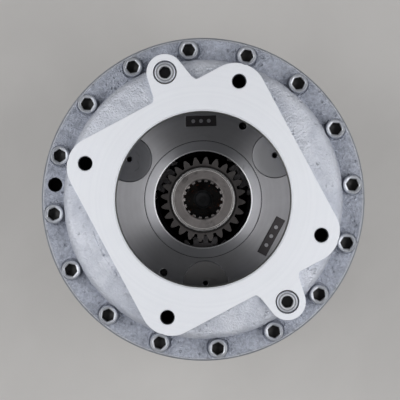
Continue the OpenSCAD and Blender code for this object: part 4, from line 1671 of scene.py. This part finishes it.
@dataclass(frozen=True)
class FirstStage:
    """The first carrier with its pins, wear ring and planets, and the sun that the motor turns."""

    plate_z: tuple[float, float] = (259.5, 262.0)
    pad_z: tuple[float, float] = (259.5, 260.45)
    pad_r: tuple[float, float] = (78.0, 122.0)
    seam_shade_r: float = 73.0
    web_shade_z: tuple[float, float] = (150.0, 254.8)
    web_shade_r: float = 61.6
    tapped_shade_z: tuple[float, float] = (150.0, 260.6)
    tapped_shade_r: float = 5.3
    ring_highlight_z: tuple[float, float] = (259.0, 262.0)
    ring_highlight_r: tuple[float, float] = (60.0, 62.2)
    pin_end_z: tuple[float, float] = (250.0, 270.0)
    pin_end_r: float = 30.0
    hub_shadow_z: tuple[float, float] = (100.0, 254.0)
    hub_shadow_r: tuple[float, float] = (39.0, 43.0)
    hub_highlight_z: tuple[float, float] = (262.4, 264.2)
    hub_highlight_r: float = 38.3
    hub_ring_highlight_r: tuple[float, float] = (36.5, 37.2)
    spline_r: float = 26.0
    marks: tuple[str, ...] = ("1a", "1b", "1c")

    def carrier_finish(self) -> TurnedFinish:
        """Makes the carrier's finish: brushed, with darker pads, black painted shade in the seam, over its
        inside and in the tapped holes, and painted shade below a height.

        Returns:
            The finish.
        """
        return TurnedFinish(
            "brushed carrier", tone(196, 196, 200), tone(186, 185, 189), rough=0.5, metal=1.0, pitch=0.5,
            relief=0.03, oil=0.12, oil_tone=0.2, stretch=0.98, bands=0.3, shade_below=225.0, shade=0.97,
            zones=(
                # Painted shade: the seam by the wear ring, the carrier's inside below its plate and the
                # tapped holes are painted black
                Zone(Cut(self.pad_z, self.pad_r, Facing.UP), tone(92, 89, 91)),
                Zone(Cut(self.plate_z, (self.seam_shade_r, self.seam_shade_r + 1.1), Facing.UP), SHADE_BLACK),
                Zone(Cut(self.web_shade_z, (0.0, self.web_shade_r)), SHADE_BLACK),
                Zone(Cut(self.tapped_shade_z, (0.0, self.tapped_shade_r), centres=CARRIER_HOLES), SHADE_BLACK),
            ),
        )

    def wear_finish(self) -> TurnedFinish:
        """Makes the wear ring's finish: brushed, with black painted shade at the seam and a painted
        highlight on its inner edge.

        Returns:
            The finish.
        """
        return TurnedFinish(
            "wear ring", tone(198, 198, 203), tone(188, 188, 193), rough=0.48, metal=1.0, pitch=0.5,
            relief=0.03, oil=0.12, stretch=0.98, bands=0.3,
            zones=(
                # Painted shade at the seam by the carrier, and a painted highlight on the ring's inner edge
                Zone(Cut(self.plate_z, (self.seam_shade_r + 0.15, FAR), Facing.UP), SHADE_BLACK),
                Zone(Cut(self.ring_highlight_z, self.ring_highlight_r), tone(252, 252, 255)),
            ),
        )

    def pin_finish(self) -> TurnedFinish:
        """Makes the pins' finish: ground ends, with a painted highlight on one pin's end and painted shade
        on another's.

        Returns:
            The finish.
        """
        end = (self.pin_end_z, (0.0, self.pin_end_r), Facing.UP)
        return TurnedFinish(
            "first pins", tone(150, 151, 156), tone(140, 140, 145), rough=0.4, metal=1.0, pitch=0.5,
            relief=0.02, lay=FIRST_PINS, oil=0.2, bands=0.4,
            # A painted highlight on one pin's end and painted shade on another's, though all three are the
            # same steel
            zones=(
                Zone(Cut(*end, PIN_WITH_PAINTED_LIGHT), tone(222, 222, 226), 0.75),
                Zone(Cut(*end, PIN_WITH_PAINTED_SHADE), tone(84, 82, 80), 0.7),
            ),
        )

    def sun_finish(self) -> TurnedFinish:
        """Makes the sun's finish: oiled teeth with painted shade below the hub and on their upright faces,
        a ring of painted shadow round the hub and two painted highlight rings on it.

        Returns:
            The finish.
        """
        return TurnedFinish(
            "first sun", tone(156, 151, 150), tone(124, 119, 118), rough=0.36, pitch=0.7, relief=0.03,
            oil=0.3, flank_shade=0.2, rust=0.2, rust_inside=self.spline_r, shade_below=256.0, shade=0.5, wear=0.9,
            # Painted shadow round the hub on the tooth faces, and two painted highlight rings on the hub's
            # edge
            zones=(
                Zone(Cut(self.hub_shadow_z, self.hub_shadow_r), SHADE_BLACK, 0.7),
                Zone(Cut(self.hub_highlight_z, (self.hub_highlight_r, FAR)), tone(244, 242, 240)),
                Zone(Cut(self.hub_highlight_z, self.hub_ring_highlight_r), tone(222, 220, 218), 0.8),
            ),
        )

    def build(self, shop: Workshop) -> None:
        """Dresses the first stage.

        Args:
            shop: The workshop.
        """
        shop.dress("carrier_1", self.carrier_finish())
        shop.dress("carrier_1_wear_ring", self.wear_finish())
        shop.dress("planet_pins_1", self.pin_finish())
        shop.dress("lock_pins_1", BLACK_OXIDE)
        bushes = bronze("bronze", FIRST_PINS)
        shop.dress("thrust_washers_1", bushes)
        # Painted shade: the first planets take far darker tones than the same steel of the second stage,
        # and more painted shade below a height and on their upright faces
        teeth = TurnedFinish(
            "first planets", tone(92, 90, 92), tone(58, 55, 56), rough=0.34, pitch=0.7, relief=0.015,
            lay=FIRST_PINS, oil=0.6, flank_shade=0.6, shade_below=240.0, shade=0.8,
        )
        for mark in self.marks:
            shop.dress(f"planet_gear_{mark}", teeth)
            shop.dress(f"planet_bush_{mark}", bushes)
        shop.dress("sun_gear_1", self.sun_finish())
        # Painted shade: the thrust pad, seen at the bottom of the sun's bore, is toned near-black; its oil
        # and rust are its own
        pad = TurnedFinish(
            "oiled thrust pad", tone(30, 20, 14), tone(14, 9, 7), rough=0.4, metal=0.6, oil=0.7, rust=0.3
        )
        shop.dress("thrust_pad", pad)


@dataclass(frozen=True)
class SecondStage:
    """The second sun, carrier, pins, washers and planets."""

    marks: tuple[str, ...] = ("2a", "2b", "2c")

    def build(self, shop: Workshop) -> None:
        """Dresses the second stage.

        Args:
            shop: The workshop.
        """
        plate = TurnedFinish(
            "second carrier", tone(140, 141, 146), tone(98, 98, 102), rough=0.38, pitch=0.9,
            relief=0.04, oil=0.4,
        )
        pins = TurnedFinish(
            "second pins", tone(150, 151, 156), tone(108, 108, 112), rough=0.28, pitch=0.5,
            lay=SECOND_PINS, oil=0.4,
        )
        teeth = TurnedFinish(
            "second planets", tone(150, 151, 157), tone(98, 98, 103), rough=0.3, pitch=0.7, relief=0.015,
            lay=SECOND_PINS, oil=0.55, flank_shade=0.75,
        )
        sun = TurnedFinish(
            "second sun", tone(160, 161, 167), tone(100, 99, 102), rough=0.32, pitch=0.7, relief=0.02,
            oil=0.5, flank_shade=0.65,
        )
        bushes = bronze("second bronze", SECOND_PINS)
        shop.dress("carrier_2", plate)
        shop.dress("planet_pins_2", pins)
        shop.dress("lock_pins_2", BLACK_OXIDE)
        shop.dress("thrust_washers_2", bushes)
        shop.dress("carrier_thrust_ring", bushes)
        shop.dress("sun_gear_2", sun)
        shop.dress("sun_2_snap_ring", BLACK_OXIDE)
        for mark in self.marks:
            shop.dress(f"planet_gear_{mark}", teeth)
            shop.dress(f"planet_bush_{mark}", bushes)


@dataclass(frozen=True)
class OutputShaft:
    """The pinion shaft with its end plate, its screws and the two roller bearings."""

    cups: tuple[str, ...] = ("upper_bearing_cup", "lower_bearing_cup")
    cones: tuple[str, ...] = ("upper_bearing_cone", "lower_bearing_cone")
    cages: tuple[str, ...] = ("upper_bearing_cage", "lower_bearing_cage")
    rollers: tuple[str, ...] = ("upper_bearing_rollers", "lower_bearing_rollers")

    def build(self, shop: Workshop) -> None:
        """Dresses the shaft, its end plate and the bearings.

        Args:
            shop: The workshop.
        """
        shaft = TurnedFinish(
            "pinion shaft", tone(214, 215, 220), tone(178, 179, 184), rough=0.36, pitch=0.9, relief=0.02,
            oil=0.3, oil_tone=0.35, bands=0.6,
        )
        plate = TurnedFinish(
            "end plate", tone(160, 162, 168), tone(116, 117, 122), rough=0.34, pitch=0.6, relief=0.02
        )
        ground = TurnedFinish(
            "ground races", tone(196, 198, 203), tone(158, 160, 165), rough=0.2, pitch=0.2,
            relief=0.003, oil=0.4,
        )
        pressed = TurnedFinish(
            "pressed cages", tone(140, 142, 148), tone(96, 98, 104), rough=0.36, metal=0.8, oil=0.4
        )
        # Painted shade: the third tone is the dark painted into the key holes
        screws = FastenerFinish(
            "end plate screws", tone(140, 142, 150), tone(92, 94, 102), tone(80, 80, 86)
        )
        shop.dress("pinion_shaft", shaft)
        shop.dress("shaft_end_plate", plate)
        shop.dress("end_plate_bolts", screws)
        for nodes, finish, slot in (
            (self.cups + self.cones, ground, Slot.GROUND),
            (self.cages, pressed, Slot.TURNED),
            (self.rollers, ground, Slot.GROUND),
        ):
            for node in nodes:
                shop.dress(node, finish)


class Window(NamedTuple):
    """A soft light: where it hangs round the drive, its size in metres and its power in watts."""

    name: str
    azimuth_deg: float
    height_deg: float
    away: float
    wide: float
    tall: float
    power: float


@dataclass(frozen=True)
class Studio:
    """The floor, the soft lights, the world and the camera, in metres but for the floor's height."""

    floor_z: float = -216.0
    floor_half: float = 6.0
    aim: tuple[float, float, float] = (0.0, 0.0, 0.25)
    camera_at: tuple[float, float, float] = (-0.00393, 0.00113, 1.816)
    camera_turn_deg: float = -28.1
    lens_mm: float = 111.16
    sensor_mm: float = 36.0
    clip: tuple[float, float] = (0.05, 50.0)
    air: tuple[float, float, float, float] = (0.96, 0.98, 1.0, 1.0)
    sky: float = 0.085
    walls: float = 0.42
    wall_fade: tuple[float, float] = (0.2, 0.5)
    backdrop: float = 0.5
    windows: tuple[Window, ...] = (
        Window("left window", 152.0, 45.0, 1.55, 1.8, 1.0, 16.0),
        Window("right window", -38.0, 44.0, 1.55, 1.8, 1.0, 16.5),
        Window("roof light", -80.0, 72.0, 2.4, 1.2, 1.2, 1.0),
    )

    def build(self, shop: Workshop) -> None:
        """Builds the floor, the lights, the world and the camera.

        Args:
            shop: The workshop.
        """
        self._floor(shop)
        for window in self.windows:
            self._light(window)
        self._world()
        self._camera()
        bpy.context.scene.view_settings.view_transform = "Standard"

    def _floor(self, shop: Workshop) -> None:
        """Lays the plain pale floor.

        Args:
            shop: The workshop.
        """
        half = self.floor_half
        square = ((-half, -half), (half, -half), (half, half), (-half, half))
        mesh = bpy.data.meshes.new("floor")
        mesh.from_pydata([(x, y, self.floor_z * MM) for x, y in square], [], [(0, 1, 2, 3)])
        pale = FloorFinish(
            "studio floor", tone(181, 179, 177), tone(175, 173, 171), tone(205, 204, 202), glow=0.31
        )
        mesh.materials.append(pale.material(shop.effects))
        floor = bpy.data.objects.new("floor", mesh)
        bpy.context.scene.collection.objects.link(floor)

    def _light(self, window: Window) -> None:
        """Hangs a soft light that faces the drive.

        Args:
            window: Its place, size and power.
        """
        turn = math.radians(window.azimuth_deg)
        rise = math.radians(window.height_deg)
        flat = window.away * math.cos(rise)
        data = bpy.data.lights.new(window.name, "AREA")
        data.shape = "RECTANGLE"
        data.size = window.wide
        data.size_y = window.tall
        data.energy = window.power
        lamp = bpy.data.objects.new(window.name, data)
        offset = Vector((flat * math.cos(turn), flat * math.sin(turn), window.away * math.sin(rise)))
        lamp.location = Vector(self.aim) + offset
        lamp.rotation_euler = (-offset).to_track_quat("-Z", "Y").to_euler()
        lamp.visible_camera = False
        bpy.context.scene.collection.objects.link(lamp)

    def _world(self) -> None:
        """Lights the room from its walls more than from above, before an even backdrop."""
        world = bpy.data.worlds.new("soft room")
        world.use_nodes = True
        background = world.node_tree.nodes["Background"]
        background.inputs["Color"].default_value = self.air
        s = ShaderSheet(world.node_tree)
        way = s.add("ShaderNodeSeparateXYZ")
        s.feed(way.inputs[0], s.add("ShaderNodeTexCoord").outputs["Generated"])
        level = s.spread(s.math("ABSOLUTE", way.outputs[2]), *self.wall_fade, self.walls, self.sky)
        seen = s.add("ShaderNodeLightPath").outputs["Is Camera Ray"]
        s.feed(background.inputs["Strength"], s.between(seen, level, self.backdrop))
        bpy.context.scene.world = world

    def _camera(self) -> None:
        """Hangs the camera straight above the drive."""
        lens = bpy.data.cameras.new("camera")
        lens.sensor_width = self.sensor_mm
        lens.lens = self.lens_mm
        lens.clip_start = self.clip[0]
        lens.clip_end = self.clip[1]
        camera = bpy.data.objects.new("camera", lens)
        camera.location = self.camera_at
        camera.rotation_euler = (0.0, 0.0, math.radians(self.camera_turn_deg))
        bpy.context.scene.collection.objects.link(camera)
        bpy.context.scene.camera = camera


def main() -> None:
    logging.basicConfig(level=logging.INFO, format="%(name)s: %(message)s")
    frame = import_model()
    shop = Workshop(frame)
    for part in (Castings(), Fasteners(), FirstStage(), SecondStage(), OutputShaft()):
        LOG.info("building %s", type(part).__name__)
        part.build(shop)
    Studio().build(shop)
    LOG.info("both boxes written")


if __name__ == "__main__":
    main()
